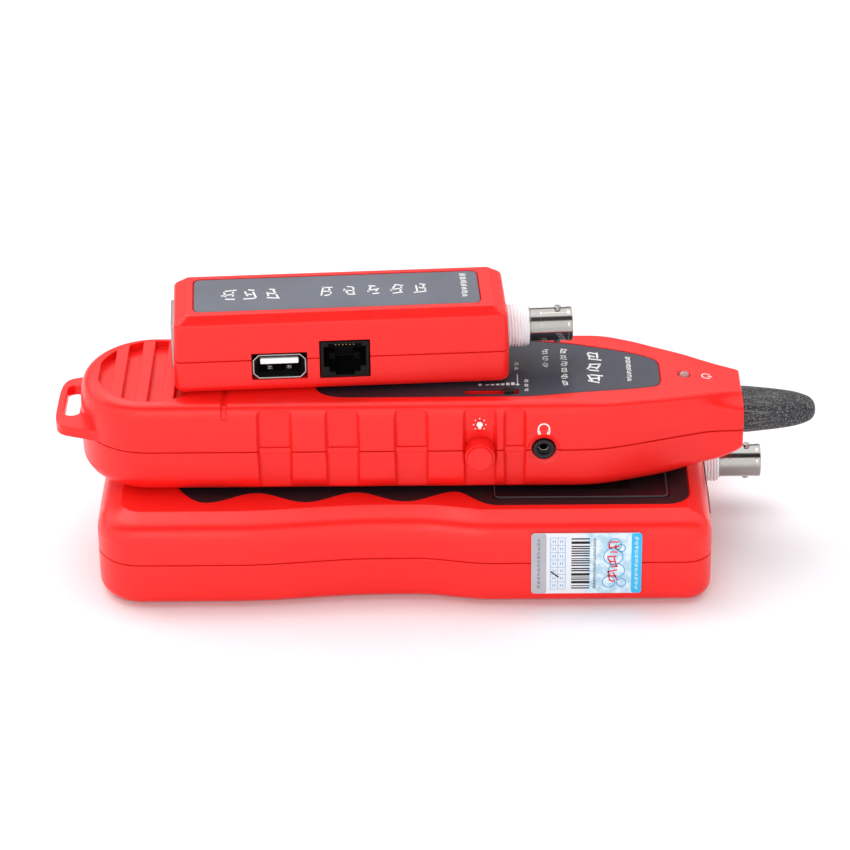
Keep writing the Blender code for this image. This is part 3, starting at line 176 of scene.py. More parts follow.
def inset(outline, distance):
    """Move an outline inwards by a distance, along the corner bisectors."""
    count = len(outline)
    moved = []
    for i, (x, y) in enumerate(outline):
        here = Vector((x, y))
        first = (here - Vector(outline[i - 1])).normalized()
        second = (Vector(outline[(i + 1) % count]) - here).normalized()
        normal = Vector((-first.y - second.y, first.x + second.x)).normalized()
        stretch = max(0.5, normal.dot(Vector((-first.y, first.x))))
        step = normal * (distance / stretch)
        moved.append((x + step.x, y + step.y))
    return moved


def lift(outline, z):
    """Lift a flat outline to a height."""
    return [(x, y, z) for x, y in outline]


def rectangle(length, width, radius, centre=(0.0, 0.0), count=6):
    """A rounded rectangle, in the mirrored point order."""
    x, y = length / 2, -width / 2 + radius
    half = [(-x + radius - radius * math.cos(a), y - radius * math.sin(a)) for a in quarter(count)]
    half += [(x - radius + radius * math.sin(a), y - radius * math.cos(a)) for a in quarter(count)]
    return [(x + centre[0], y + centre[1]) for x, y in mirrored(half)]


def circle(radius, centre=(0.0, 0.0), count=ROUND):
    """A round outline."""
    angles = [2 * math.pi * i / count for i in range(count)]
    return [(centre[0] + radius * math.cos(a), centre[1] + radius * math.sin(a)) for a in angles]


def banded(bm, loops, closed=False):
    """Join each loop of vertices to the next with a band, and a closed run's last to its first."""
    following = loops[1:] + loops[:1] if closed else loops[1:]
    for low, high in zip(loops, following):
        for i in range(len(low)):
            j = (i + 1) % len(low)
            bm.faces.new((low[i], low[j], high[j], high[i]))


def laid(bm, rings):
    """Rings of points as loops of vertices."""
    return [[bm.verts.new(point) for point in ring] for ring in rings]


def skin(rings):
    """Skin mirrored rings in order, with a cap of strips on the first and the last."""
    bm = bmesh.new()
    loops = laid(bm, rings)
    banded(bm, loops)
    half = len(loops[0]) // 2
    for loop in (loops[0], loops[-1]):
        bm.faces.new([loop[-2], loop[-1], *loop[:3]])
        for i in range(2, half - 2):
            bm.faces.new((loop[i], loop[i + 1], loop[-i - 1], loop[-i]))
        bm.faces.new(loop[half - 2:half + 3])
    return bm


def loft(rings, bm=None):
    """Skin any simple rings in order, with one flat cap on each end."""
    bm = bm or bmesh.new()
    loops = laid(bm, rings)
    banded(bm, loops)
    bm.faces.new(reversed(loops[0]))
    bm.faces.new(loops[-1])
    return bm


def rim_tube(outer, inner, low, high):
    """A closed band between two outlines and two heights."""
    bm = bmesh.new()
    banded(bm, laid(bm, [lift(outer, low), lift(outer, high), lift(inner, high), lift(inner, low)]), True)
    return bm


def prism(outline, low, high):
    """An upright prism over a simple outline."""
    return loft([lift(outline, low), lift(outline, high)])


def sunk(outline, floor, face, rim=0.25, floor_round=0.15):
    """A cutter for a pocket with an eased rim at the face and an eased floor."""
    places = [(floor_round, floor), (0.0, floor + floor_round), (0.0, face - rim),
              (-0.3 * rim, face - 0.3 * rim), (-rim, face), (-rim, face + 3.0)]
    return skin([lift(inset(outline, reach) if reach else outline, level) for reach, level in places])


def brick(low, high, ease=0.0, bm=None):
    """An axis-aligned box between two corners, with its edges eased."""
    (x0, y0, z0), (x1, y1, z1) = low, high
    made = prism([(x0, y0), (x1, y0), (x1, y1), (x0, y1)], z0, z1)
    if ease:
        bmesh.ops.bevel(made, geom=made.edges[:], offset=ease, segments=3, profile=0.5, affect="EDGES")
    return merged(made, bm)


def merged(made, bm):
    """Add a bmesh to another, or return it as it is."""
    if bm is None:
        return made
    mesh = bpy.data.meshes.new("part")
    made.to_mesh(mesh)
    made.free()
    bm.from_mesh(mesh)
    bpy.data.meshes.remove(mesh)
    return bm


AXES = {"X": ((0, 1, 0), (0, 0, 1), (1, 0, 0)),
        "Y": ((0, 0, 1), (1, 0, 0), (0, 1, 0)),
        "Z": ((1, 0, 0), (0, 1, 0), (0, 0, 1))}


def turned(profile, axis="Z", origin=(0.0, 0.0, 0.0), count=ROUND, bm=None):
    """Turn a closed run of (radius, height) points about an axis; zero radii end on it."""
    bm = bm or bmesh.new()
    side, up, along = (Vector(v) for v in AXES[axis])
    centre = Vector(origin)
    loops = []
    for radius, height in profile:
        if radius > 0.0:
            spokes = [side * x + up * y for x, y in circle(radius, count=count)]
            loops.append([bm.verts.new(centre + along * height + spoke) for spoke in spokes])
    banded(bm, loops, profile[0][0] > 0.0)
    for end, loop in ((profile[0], loops[0]), (profile[-1], loops[-1])):
        if end[0] == 0.0:
            bm.faces.new(loop)
    return bm


def rod(radius, low, high, axis="Z", origin=(0.0, 0.0, 0.0), bm=None, ease=0.0):
    """A round bar along an axis, with its ends eased."""
    profile = [(0.0, low), (radius - ease, low), (radius, low + ease), (radius, high - ease),
               (radius - ease, high), (0.0, high)]
    if not ease:
        profile = [(0.0, low), (radius, low), (radius, high), (0.0, high)]
    return turned(profile, axis, origin, bm=bm)


def swept(path, radius, count, bm=None):
    """A round wire through a list of points."""
    points = [Vector(point) for point in path]
    rings = []
    for i, point in enumerate(points):
        along = (points[min(i + 1, len(points) - 1)] - points[max(i - 1, 0)]).normalized()
        side = along.cross(Vector((0.31, 0.17, 0.93))).normalized()
        up = side.cross(along)
        rings.append([point + side * x + up * y for x, y in circle(radius, count=count)])
    return loft(rings, bm)


# ---------------------------------------------------------------- pieces

tools = []


def bare(name, bm, device):
    """A mesh object of a bmesh in millimetres, in a device's space."""
    bmesh.ops.recalc_face_normals(bm, faces=bm.faces)
    bmesh.ops.scale(bm, vec=Vector((MM, MM, MM)), verts=bm.verts)
    mesh = bpy.data.meshes.new(name)
    bm.to_mesh(mesh)
    bm.free()
    obj = bpy.data.objects.new(name, mesh)
    bpy.context.scene.collection.objects.link(obj)
    obj.matrix_world = device
    return obj


def carve(obj, bm, operation="DIFFERENCE"):
    """Cut a shape from an object, or with UNION or INTERSECT add or keep it."""
    tool = bare("tool", bm, obj.matrix_world)
    tools.append(tool)
    boolean = obj.modifiers.new("carve", "BOOLEAN")
    boolean.operation = operation
    boolean.solver = "EXACT"
    boolean.object = tool


def settle(obj, sharp):
    """Apply an object's carving and set its smooth shading."""
    bpy.context.view_layer.update()
    if obj.modifiers:
        graph = bpy.context.evaluated_depsgraph_get()
        mesh = bpy.data.meshes.new_from_object(obj.evaluated_get(graph))
        obj.modifiers.clear()
        obj.data = mesh
        for tool in tools:
            bpy.data.objects.remove(tool)
        tools.clear()
    obj.data.materials.clear()
    obj.data.shade_smooth()
    obj.data.set_sharp_from_angle(angle=math.radians(sharp))
    weighted = obj.modifiers.new("shading", "WEIGHTED_NORMAL")
    weighted.keep_sharp = True


def finished(obj, look, body, *nodes, slot=None, sharp=SHARP):
    """Settle a piece, give it its look, and hand it to the frame."""
    settle(obj, sharp)
    obj.data.materials.append(looks[look].material)
    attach(obj, body)
    if nodes:
        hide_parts(*nodes)


def piece(name, bm, device, look, body, *nodes, slot=None):
    """Make a piece from a bmesh in one go."""
    finished(bare(name, bm, device), look, body, *nodes, slot=slot)


# ---------------------------------------------------------------- materials

class Look:
    """A short-hand for building one Principled material's nodes."""

    def __init__(self, name):
        self.material = bpy.data.materials.new(name)
        self.material.use_nodes = True
        self.tree = self.material.node_tree
        self.shader = self.tree.nodes["Principled BSDF"]
        self.place = self.node("ShaderNodeTexCoord").outputs["Object"]

    def node(self, kind, **settings):
        """Add a node; settings name its properties, or its inputs where they hold a value."""
        made = self.tree.nodes.new(kind)
        for key, value in settings.items():
            if hasattr(made, key):
                setattr(made, key, value)
            else:
                self.link(value, made.inputs[key.replace("_", " ")])
        return made

    def link(self, value, socket):
        """Join an output to an input, or set a plain value."""
        if isinstance(value, bpy.types.NodeSocket):
            self.tree.links.new(value, socket)
        else:
            socket.default_value = value

    def noise(self, size, detail=3.0, stretch=(1.0, 1.0, 1.0)):
        """Noise with blotches of about a size in millimetres."""
        mapping = self.node("ShaderNodeMapping", Vector=self.place, Scale=stretch)
        made = self.node("ShaderNodeTexNoise", Vector=mapping.outputs[0], Scale=1.0 / (size * MM),
                         Detail=detail)
        return made.outputs["Fac"]

    def ranged(self, value, low, high, start=0.3, end=0.7):
        """Map a factor's middle range to two values."""
        made = self.node("ShaderNodeMapRange", Value=value)
        for name, number in (("From Min", start), ("From Max", end), ("To Min", low), ("To Max", high)):
            made.inputs[name].default_value = number
        return made.outputs[0]

    def mixed(self, factor, first, second, mode="MIX"):
        """Mix two colours."""
        made = self.node("ShaderNodeMix", data_type="RGBA", blend_type=mode)
        self.link(factor, made.inputs["Factor"])
        for socket, color in ((made.inputs[6], first), (made.inputs[7], second)):
            self.link((*color, 1.0) if isinstance(color, tuple) and len(color) == 3 else color, socket)
        return made.outputs[2]

    def math(self, operation, first, second=0.0):
        """One arithmetic step."""
        made = self.node("ShaderNodeMath", operation=operation)
        self.link(first, made.inputs[0])
        self.link(second, made.inputs[1])
        return made.outputs[0]


def toned(color, factor):
    """A colour made lighter or darker."""
    return tuple(min(1.0, channel * factor) for channel in color)


def surface(name, color, roughness, metallic=0.0, grain=0.25, bump=0.012, mottle=0.08,
            edge=1.25, radius=0.3, coat=0.0, stretch=(1.0, 1.0, 1.0), shine=0.5):
    """A moulded, printed or plated surface: mottled tone, uneven gloss, fine grain, eased edges lightened in
    colour as a painted highlight.
    """
    look = Look(name)
    shader = look.shader
    blotches = look.ranged(look.noise(14.0), 0.0, 1.0)
    tone = look.mixed(blotches, toned(color, 1.0 - mottle), toned(color, 1.0 + mottle))
    bevelled = look.node("ShaderNodeBevel", samples=6, Radius=radius * MM)
    true_normal = look.node("ShaderNodeNewGeometry").outputs["Normal"]
    facing = look.node("ShaderNodeVectorMath", operation="DOT_PRODUCT")
    look.link(bevelled.outputs[0], facing.inputs[0])
    look.link(true_normal, facing.inputs[1])
    # Painted highlight: the eased edges are lightened in colour by the edge factor, in patches set by fine
    # noise.
    edge_highlight_mask = look.ranged(facing.outputs["Value"], 1.0, 0.0, 0.75, 0.99)
    uneven = look.math("MULTIPLY", edge_highlight_mask, look.ranged(look.noise(1.6), 0.3, 1.0))
    look.link(look.mixed(uneven, tone, toned(color, edge)), shader.inputs["Base Color"])
    gloss = look.ranged(look.noise(3.5, stretch=stretch), roughness * 0.88, roughness * 1.15)
    look.link(gloss, shader.inputs["Roughness"])
    shader.inputs["Metallic"].default_value = metallic
    shader.inputs["Specular IOR Level"].default_value = shine
    shader.inputs["Coat Weight"].default_value = coat
    shader.inputs["Coat Roughness"].default_value = 0.12
    fine = look.node("ShaderNodeBump", Strength=0.6, Distance=bump * MM,
                     Height=look.noise(grain, 2.0, stretch), Normal=bevelled.outputs[0])
    look.link(fine.outputs[0], shader.inputs["Normal"])
    return look


# Each look's edge factor paints its eased edges lighter as a highlight; the window glass and the jack
# moulding get the strongest painted highlight.
looks = {
    "red": surface("red_moulding", (0.86, 0.012, 0.009), 0.32, grain=1.1, bump=0.0012, mottle=0.02, edge=1.12,
                   coat=0.08, shine=0.34),
    "tester_label": surface("tester_label_film", (0.012, 0.011, 0.014), 0.36, grain=0.3, bump=0.008,
                            shine=0.3),
    "mark": surface("white_print", (0.80, 0.80, 0.80), 0.5, radius=0.05),
    "mark_dull": surface("grey_print", (0.42, 0.43, 0.45), 0.5, radius=0.05),
    "black": surface("black_moulding", (0.009, 0.009, 0.010), 0.42, mottle=0.2, shine=0.3),
    # painted shade: a near-black lining for the inside of the USB cans
    "well": surface("socket_painted_shade", (0.003, 0.003, 0.0035), 0.7, mottle=0.3, shine=0.1),
    "jack": surface("jack_moulding", (0.005, 0.005, 0.005), 0.5, mottle=0.2, edge=3.0, shine=0.16),
    "white": surface("white_moulding", (0.92, 0.91, 0.93), 0.42, mottle=0.02, edge=1.02),
    "nickel": surface("nickel_plate", (0.39, 0.375, 0.355), 0.11, 1.0, grain=1.2, bump=0.003, mottle=0.06,
                      stretch=(0.25, 1.0, 1.0)),
    "steel": surface("plated_sheet", (0.44, 0.43, 0.42), 0.24, 1.0, grain=0.6, bump=0.006),
    "gold": surface("gold_plate", (0.83, 0.58, 0.20), 0.22, 1.0, grain=0.8, bump=0.003),
    "board": surface("solder_mask", (0.010, 0.10, 0.045), 0.35, grain=0.9, bump=0.03, mottle=0.3),
    "cell": surface("cell_wrap", (0.05, 0.07, 0.11), 0.3, grain=1.5, bump=0.01, mottle=0.25),
    "display": surface("display_bezel", (0.006, 0.005, 0.005), 0.3, shine=0.2),
    "key_rubber": surface("key_rubber", (0.05, 0.05, 0.055), 0.5, grain=0.4, bump=0.01, mottle=0.1),
    "glass": surface("window_glass", (0.010, 0.010, 0.012), 0.10, grain=3.0, bump=0.002, mottle=0.1, edge=6.0,
                     shine=0.4),
    # the clear lamp lens is tinted pink: the red glow seen in it is painted into its colour
    "lamp": surface("lamp_lens", (0.80, 0.50, 0.48), 0.12, grain=0.8, bump=0.01, mottle=0.05),
    "cyan": surface("sticker_band", (0.03, 0.46, 0.78), 0.4, radius=0.05, shine=0.3),
    "strip": surface("sticker_strip", (0.44, 0.44, 0.48), 0.45, radius=0.05, shine=0.3),
    "blue": surface("sticker_line", (0.10, 0.38, 0.66), 0.45, radius=0.05, shine=0.3),
    "note": surface("sticker_note", (0.12, 0.12, 0.15), 0.45, radius=0.05, shine=0.3),
    "adapter_label": surface("adapter_label_film", (0.12, 0.13, 0.155), 0.42, grain=0.3, bump=0.01,
                             shine=0.3),
    "probe_label": surface("probe_label_film", (0.03, 0.03, 0.04), 0.36, grain=0.3, bump=0.008, shine=0.3),
    "rubber": surface("tip_rubber", (0.020, 0.020, 0.021), 0.55, grain=0.5, bump=0.05, mottle=0.35, edge=1.6),
    "sticker": surface("sticker_film", (0.72, 0.80, 0.86), 0.35, grain=0.4, bump=0.004),
}


def enrich_looks():
    """Patterns for the looks that need more than the shared surface recipe."""
    adapter_label = looks["adapter_label"]
    dots = adapter_label.ranged(adapter_label.noise(0.28, 1.0), 0.72, 1.28)
    sheen = adapter_label.ranged(adapter_label.noise(22.0, 1.0), 0.92, 1.08)
    shade = adapter_label.math("MULTIPLY", dots, sheen)
    speckled = adapter_label.node("ShaderNodeHueSaturation", Color=(0.135, 0.145, 0.175, 1.0), Value=shade)
    adapter_label.link(speckled.outputs[0], adapter_label.shader.inputs["Base Color"])

    probe_label = looks["probe_label"]
    along = probe_label.node("ShaderNodeSeparateXYZ", Vector=probe_label.place).outputs["X"]
    # Painted shade: the label's tint is darker towards the tail end, under and beside the adapter, and
    # lighter towards the nose.
    fade = probe_label.ranged(along, 0.0, 1.0, -0.01, 0.075)
    speckle = probe_label.ranged(probe_label.noise(0.35, 1.0), 0.85, 1.15)
    ink = probe_label.mixed(fade, (0.013, 0.013, 0.020), (0.066, 0.066, 0.090))
    shaded = probe_label.node("ShaderNodeHueSaturation", Color=ink, Value=speckle)
    probe_label.link(shaded.outputs[0], probe_label.shader.inputs["Base Color"])

    rubber = looks["rubber"]
    lengthwise = rubber.noise(0.8, 3.0, (0.03, 1.0, 1.0))
    pits = rubber.noise(0.45, 3.0)
    along = rubber.node("ShaderNodeSeparateXYZ", Vector=rubber.place).outputs["X"]
    root = rubber.ranged(along, 1.0, 0.1, 0.100, 0.110)
    ribs = rubber.math("MULTIPLY", lengthwise, rubber.math("MULTIPLY", root, 1.6))
    relief = rubber.math("ADD", ribs, pits)
    grain = rubber.node("ShaderNodeBump", Strength=0.9, Distance=0.14 * MM, Height=relief)
    rubber.link(grain.outputs[0], rubber.shader.inputs["Normal"])
    streaks = rubber.math("MULTIPLY", rubber.ranged(lengthwise, 0.0, 0.75, 0.5, 0.68), root)
    specks = rubber.math("MAXIMUM", rubber.ranged(rubber.noise(0.5, 4.0), 0.0, 1.0, 0.5, 0.72), streaks)
    dusty = rubber.mixed(specks, (0.010, 0.010, 0.012), (0.22, 0.22, 0.23))
    rubber.link(dusty, rubber.shader.inputs["Base Color"])

    looks["lamp"].shader.inputs["Transmission Weight"].default_value = 0.55

    film = looks["sticker"]
    across = film.node("ShaderNodeSeparateXYZ", Vector=film.place).outputs["X"]
    clouds = film.ranged(film.noise(2.2, 2.0), 0.0, 1.0, 0.4, 0.6)
    pattern = film.mixed(clouds, (0.40, 0.60, 0.74), (0.68, 0.80, 0.88))
    plain = (0.74, 0.76, 0.80)
    right = film.ranged(across, 0.0, 1.0, 0.0500, 0.0530)
    film.link(film.mixed(right, plain, pattern), film.shader.inputs["Base Color"])


enrich_looks()


# ---------------------------------------------------------------- connectors

BARREL_RADIUS = 4.83
BARREL_BORE = 4.15
BARREL_LENGTH = 12.5  # the part beyond the neck
NECK_RADIUS = 6.2
NECK_BORE = 5.15
LUG_SETBACK = 4.2  # bayonet lugs, from the barrel's end
# each mouth is a run of (half width, bottom, top, depth) pockets, its heights under the jack's top
RJ45_MOUTH = ((5.95, -8.6, -1.6, 11.5), (4.1, -9.7, -5.0, 8.0), (2.98, -10.8, -5.0, 11.5),
              (6.3, -8.8, -1.25, 0.6))
RJ11_MOUTH = ((6.0, -7.9, -1.4, 11.5), (4.8, -3.0, -0.5, 9.0), (4.4, -9.6, -5.0, 8.0),
              (2.7, -10.6, -5.0, 11.5))
JACK_WIRE = ((1.6, 0.05), (2.2, 0.45), (5.5, 2.2), (9.2, 4.1), (10.6, 4.3))  # depth and drop along a contact
USB_LIP = 1.0  # how far the shell's mouth flares
USB_PITCH = 2.3


def side_frame(device, origin, facing):
    """A space for a socket: x across it, y up, and z out of its mouth."""
    outward = Vector(facing)
    up = Vector((0.0, 0.0, 1.0))
    aim = Matrix((up.cross(outward), up, outward)).transposed().to_4x4()
    return device @ Matrix.Translation(Vector(origin) * MM) @ aim


def thread(radius, depth, pitch, low, high, origin):
    """A helical thread along X, between two heights, with a plain core end on each side."""
    samples = int((high - low) / pitch * 10)
    loops = []
    for step in range(samples + 1):
        height = low + (high - low) * step / samples
        fade = smooth(0.0, 0.6, min(height - low, high - height))
        loop = []
        for i in range(ROUND):
            angle = 2 * math.pi * i / ROUND
            phase = (height - low) / pitch - i / ROUND
            wave = 0.5 + 0.5 * math.cos(2 * math.pi * phase)
            reach = radius - depth * (1.0 - fade * min(1.0, 1.5 * wave))
            loop.append((height, origin[1] + reach * math.cos(angle), origin[2] + reach * math.sin(angle)))
        loops.append(loop)
    return loft(loops)


def bnc(prefix, device, body, block_length):
    """A bayonet coaxial socket with a threaded plastic neck."""
    low, high = extent(f"{prefix}_bnc_barrel", device)
    _, y, z = middle(f"{prefix}_bnc_barrel", device)
    end, neck_end = high.x, high.x - BARREL_LENGTH
    origin = (0.0, y, z)
    housing_low, housing_high = extent(f"{prefix}_bnc_housing", device)
    block_end = housing_low.x + block_length
    block = brick(housing_low, (block_end, housing_high.y, housing_high.z), ease=0.5)
    housing = bare(f"{prefix}_coax_housing", block, device)
    carve(housing, thread(NECK_RADIUS, 0.5, 0.9, block_end - 1.0, neck_end, origin), "UNION")
    carve(housing, rod(NECK_BORE, low.x - 1.0, neck_end + 2.0, "X", origin))
    finished(housing, "white", body, f"{prefix}_bnc_housing")

    outer, inner = BARREL_RADIUS, BARREL_BORE
    from_neck = [(outer, -0.2), (NECK_BORE, 0.05), (NECK_BORE, 0.35), (outer, 0.45), (outer, 3.0),
                 (outer - 0.05, 3.1), (outer - 0.05, 3.35), (outer, 3.45)]
    from_end = [(outer, 1.5), (outer + 0.07, 1.35), (outer + 0.07, 0.35), (outer - 0.05, 0.1),
                (outer - 0.3, 0.0), (inner + 0.1, 0.0), (inner, 0.15)]
    profile = [(outer, low.x)]
    profile += [(radius, neck_end + height) for radius, height in from_neck]
    profile += [(radius, end - depth) for radius, depth in from_end]
    profile += [(inner, low.x + 1.0), (3.3, low.x + 1.0), (3.3, low.x)]
    barrel = bare(f"{prefix}_coax_barrel", turned(profile, "X", origin, 72), device)
    lugs = bmesh.new()
    for side in (-1, 1):
        foot, head = sorted((side * (outer - 0.4), side * (outer + 0.95)))
        rod(1.0, foot, head, "Z", (end - LUG_SETBACK, y, z), lugs, 0.2)
    carve(barrel, lugs, "UNION")
    finished(barrel, "nickel", body, f"{prefix}_bnc_barrel")

    profile = [(3.0, low.x), (3.0, low.x + 8.0), (2.45, low.x + 8.2), (2.45, end - 3.2), (2.2, end - 3.0),
               (1.5, end - 3.0), (1.4, end - 3.2), (1.4, low.x)]
    piece(f"{prefix}_coax_dielectric", turned(profile, "X", origin, 40), device, "white", body,
          f"{prefix}_bnc_dielectric")
    profile = [(0.0, low.x), (1.1, low.x), (1.1, end - 3.7), (0.9, end - 3.4), (0.55, end - 3.4),
               (0.5, end - 3.7), (0.5, end - 8.0), (0.0, end - 8.0)]
    contact = bare(f"{prefix}_coax_contact", turned(profile, "X", origin, 32), device)
    carve(contact, brick((end - 8.0, y - 0.12, z - 2.0), (end + 1.0, y + 0.12, z + 2.0)))
    finished(contact, "gold", body, f"{prefix}_bnc_contact")


def modular_jack(node, device, body, facing, mouth, poles, look):
    """A modular jack: stepped mouth, latch notch and sprung contact wires."""
    low, high = extent(node, device)
    axis = 0 if facing[0] else 1
    across = 1 - axis
    sign = facing[axis]
    face = high[axis] if sign > 0 else low[axis]
    centre = (low[across] + high[across]) / 2
    ceiling = high.z - 1.6
    jack = bare(node.replace("jack", "socket"), brick(low, high, ease=0.25), device)
    for half_width, bottom, top, depth in mouth:
        start, stop = [0.0, 0.0, high.z + bottom], [0.0, 0.0, high.z + top]
        start[axis], stop[axis] = sorted((face - sign * depth, face + sign * 3.0))
        start[across], stop[across] = centre - half_width, centre + half_width
        carve(jack, brick(start, stop, 0.2))
    finished(jack, look, body, node)

    wires = bmesh.new()
    for i in range(poles):
        path = []
        for depth, drop in JACK_WIRE:
            point = [0.0, 0.0, ceiling - drop]
            point[axis] = face - sign * depth
            point[across] = centre + (i - (poles - 1) / 2) * 1.02
            path.append(point)
        swept(path, 0.17, 8, wires)
    piece(node.replace("jack", "contacts"), wires, device, "gold", body)


def usb_outline(half_width, half_height, chamfer):
    """The chamfered mouth of a type A socket, counter-clockwise from its lower left."""
    corners = [(half_width * u, half_height * v) for u, v in ((-1, -1), (1, -1), (1, 1), (-1, 1))]
    outline = []
    for i, (x, y) in enumerate(corners):
        for other in (corners[i - 1], corners[(i + 1) % 4]):
            length = math.hypot(other[0] - x, other[1] - y)
            outline.append((x + (other[0] - x) * chamfer / length, y + (other[1] - y) * chamfer / length))
    return outline


def usb(prefix, device, body, facing):
    """A type A socket: flared sheet shell, a near-black lining of painted shade inside it, white tongue with
    contacts, and spring dimples.
    """
    low, high = extent(f"{prefix}_usb_shell", device)
    x, _, z = middle(f"{prefix}_usb_shell", device)
    space = side_frame(device, (x, high.y if facing[1] > 0 else low.y, z), facing)
    back = low.y - high.y
    width, height = (high.x - low.x) / 2 - USB_LIP, (high.z - low.z) / 2 - USB_LIP

    def tube(places):
        return loft([[(x, y, depth) for x, y in usb_outline(width + grow, height + grow, chamfer)]
                     for grow, depth, chamfer in places])

    can = [(0.0, back, 0.5), (0.0, -1.6, 0.5), (0.15, -1.0, 0.8), (0.55, -0.45, 1.2), (1.0, 0.0, 1.7),
           (0.66, 0.0, 1.5), (0.30, -0.5, 1.1), (-0.2, -1.1, 0.7), (-0.4, -1.8, 0.4), (-0.4, 2.0 + back, 0.4)]
    piece(f"{prefix}_usb_can", tube(can), space, "steel", body, f"{prefix}_usb_shell")
    # Painted shade: a near-black lining just inside the can darkens the socket's inside.
    well = [(-0.45, 2.1 + back, 0.4), (-0.45, -1.8, 0.4), (-0.25, -1.15, 0.7), (0.22, -0.55, 1.1),
            (0.50, -0.14, 1.35), (0.36, -0.12, 1.3), (0.12, -0.6, 1.0), (-0.35, -1.2, 0.7),
            (-0.55, -1.9, 0.4), (-0.55, 2.3 + back, 0.4)]
    piece(f"{prefix}_usb_painted_shade", tube(well), space, "well", body)

    springs = bmesh.new()
    floor = -height
    for x in (-2.7, 2.7):
        for side in (-1, 1):
            arm = x + side * 0.62
            brick((arm - 0.09, floor + 0.56, -3.2), (arm + 0.09, floor + 1.5, -2.9), 0.04, springs)
            level = floor + 1.03 + side * 0.38
            brick((x - 0.7, level - 0.09, -3.2), (x + 0.7, level + 0.09, -2.9), 0.04, springs)
        brick((x - 0.35, floor + 0.9, -3.3), (x + 0.35, floor + 1.2, -3.0), 0.08, springs)
    piece(f"{prefix}_usb_springs", springs, space, "steel", body)
    low, high = extent(f"{prefix}_usb_tongue", space)
    piece(f"{prefix}_usb_blade", brick(low, high, ease=0.35), space, "white", body, f"{prefix}_usb_tongue")
    contacts = bmesh.new()
    for i in range(4):
        x = (i - 1.5) * USB_PITCH
        brick((x - 0.5, low.y - 0.12, low.z + 1.0), (x + 0.5, low.y + 0.2, high.z - 0.9), 0.08, contacts)
    piece(f"{prefix}_usb_contacts", contacts, space, "gold", body)


def case_screws(prefix, count, device, body):
    """Cross-head screws, dished and driven from below."""
    for i in range(count):
        node = f"{prefix}_case_screw_{i + 1}"
        low, high = extent(node, device)
        x, y, _ = middle(node, device)
        head = low.z
        profile = [(0.0, head), (1.5, head), (2.2, head + 0.25), (2.5, head + 0.7), (2.5, head + 1.7),
                   (2.3, head + 1.9), (1.2, head + 1.9), (1.2, high.z - 1.0), (0.3, high.z), (0.0, high.z)]
        screw = bare(f"{prefix}_screw_{i + 1}", turned(profile, "Z", (x, y, 0.0), 32), device)
        for length, width in ((1.5, 0.32), (0.32, 1.5)):
            carve(screw, brick((x - length, y - width, head - 1.0),
                               (x + length, y + width, head + 1.05), 0.12))
        finished(screw, "steel", body, node)


def screw_well(node, device, shoulder, depth):
    """A countersunk well for a case screw's head."""
    x, y, _ = middle(node, device)
    profile = [(0.0, -1.0), (3.1, -1.0), (2.8, shoulder), (2.8, depth), (0.0, depth)]
    return turned(profile, "Z", (x, y, 0.0), 40)


def cut_ports(cover, device, prefix, neck_inside, length, jacks):
    """Cut a cover for its coaxial neck and its other sockets."""
    _, y, z = middle(f"{prefix}_bnc_barrel", device)
    carve(cover, rod(NECK_HOLE, length / 2 - neck_inside, length / 2 + 5.0, "X", (0.0, y, z)))
    for jack in jacks:
        low, high = extent(f"{prefix}_{jack}", device)
        carve(cover, brick(low - CLEAR, high + CLEAR))


def door_grips(start, count, half_width):
    """A cutter for the thumb grips across a battery door."""
    grips = bmesh.new()
    for i in range(count):
        x = start + 2.4 * i
        brick((x, -half_width, -1.0), (x + 1.1, half_width, 0.6), 0.25, grips)
    return grips


# ---------------------------------------------------------------- printed marks

def stroke(points, width):
    """The outline of a line of a width through a few points."""
    half = width / 2
    left, right = [], []
    for i, (x, y) in enumerate(points):
        before, after = points[max(i - 1, 0)], points[min(i + 1, len(points) - 1)]
        length = math.hypot(after[0] - before[0], after[1] - before[1])
        nx, ny = -(after[1] - before[1]) / length, (after[0] - before[0]) / length
        left.append((x + nx * half, y + ny * half))
        right.append((x - nx * half, y - ny * half))
    return left + right[::-1]


def bow(radius, start, end, centre=(0.0, 0.0), count=24):
    """Points on an arc between two angles in degrees."""
    return [(centre[0] + radius * math.cos(math.radians(a)), centre[1] + radius * math.sin(math.radians(a)))
            for a in steps(start, end, count)]


def bar(x, y, length, width):
    """A rectangle's outline about its centre."""
    return [(x - length / 2, y - width / 2), (x + length / 2, y - width / 2),
            (x + length / 2, y + width / 2), (x - length / 2, y + width / 2)]


def turn(outline, angle, centre=(0.0, 0.0)):
    """Turn a flat outline by degrees and place it."""
    c, s = math.cos(math.radians(angle)), math.sin(math.radians(angle))
    return [(centre[0] + x * c - y * s, centre[1] + x * s + y * c) for x, y in outline]


def printed(outlines, lay, ink=0.05):
    """Print flat outlines on a surface; lay(u, v, height) gives a point over it."""
    bm = bmesh.new()
    for outline in outlines:
        loft([[lay(u, v, height) for u, v in outline] for height in (-0.04, ink)], bm)
    return bm


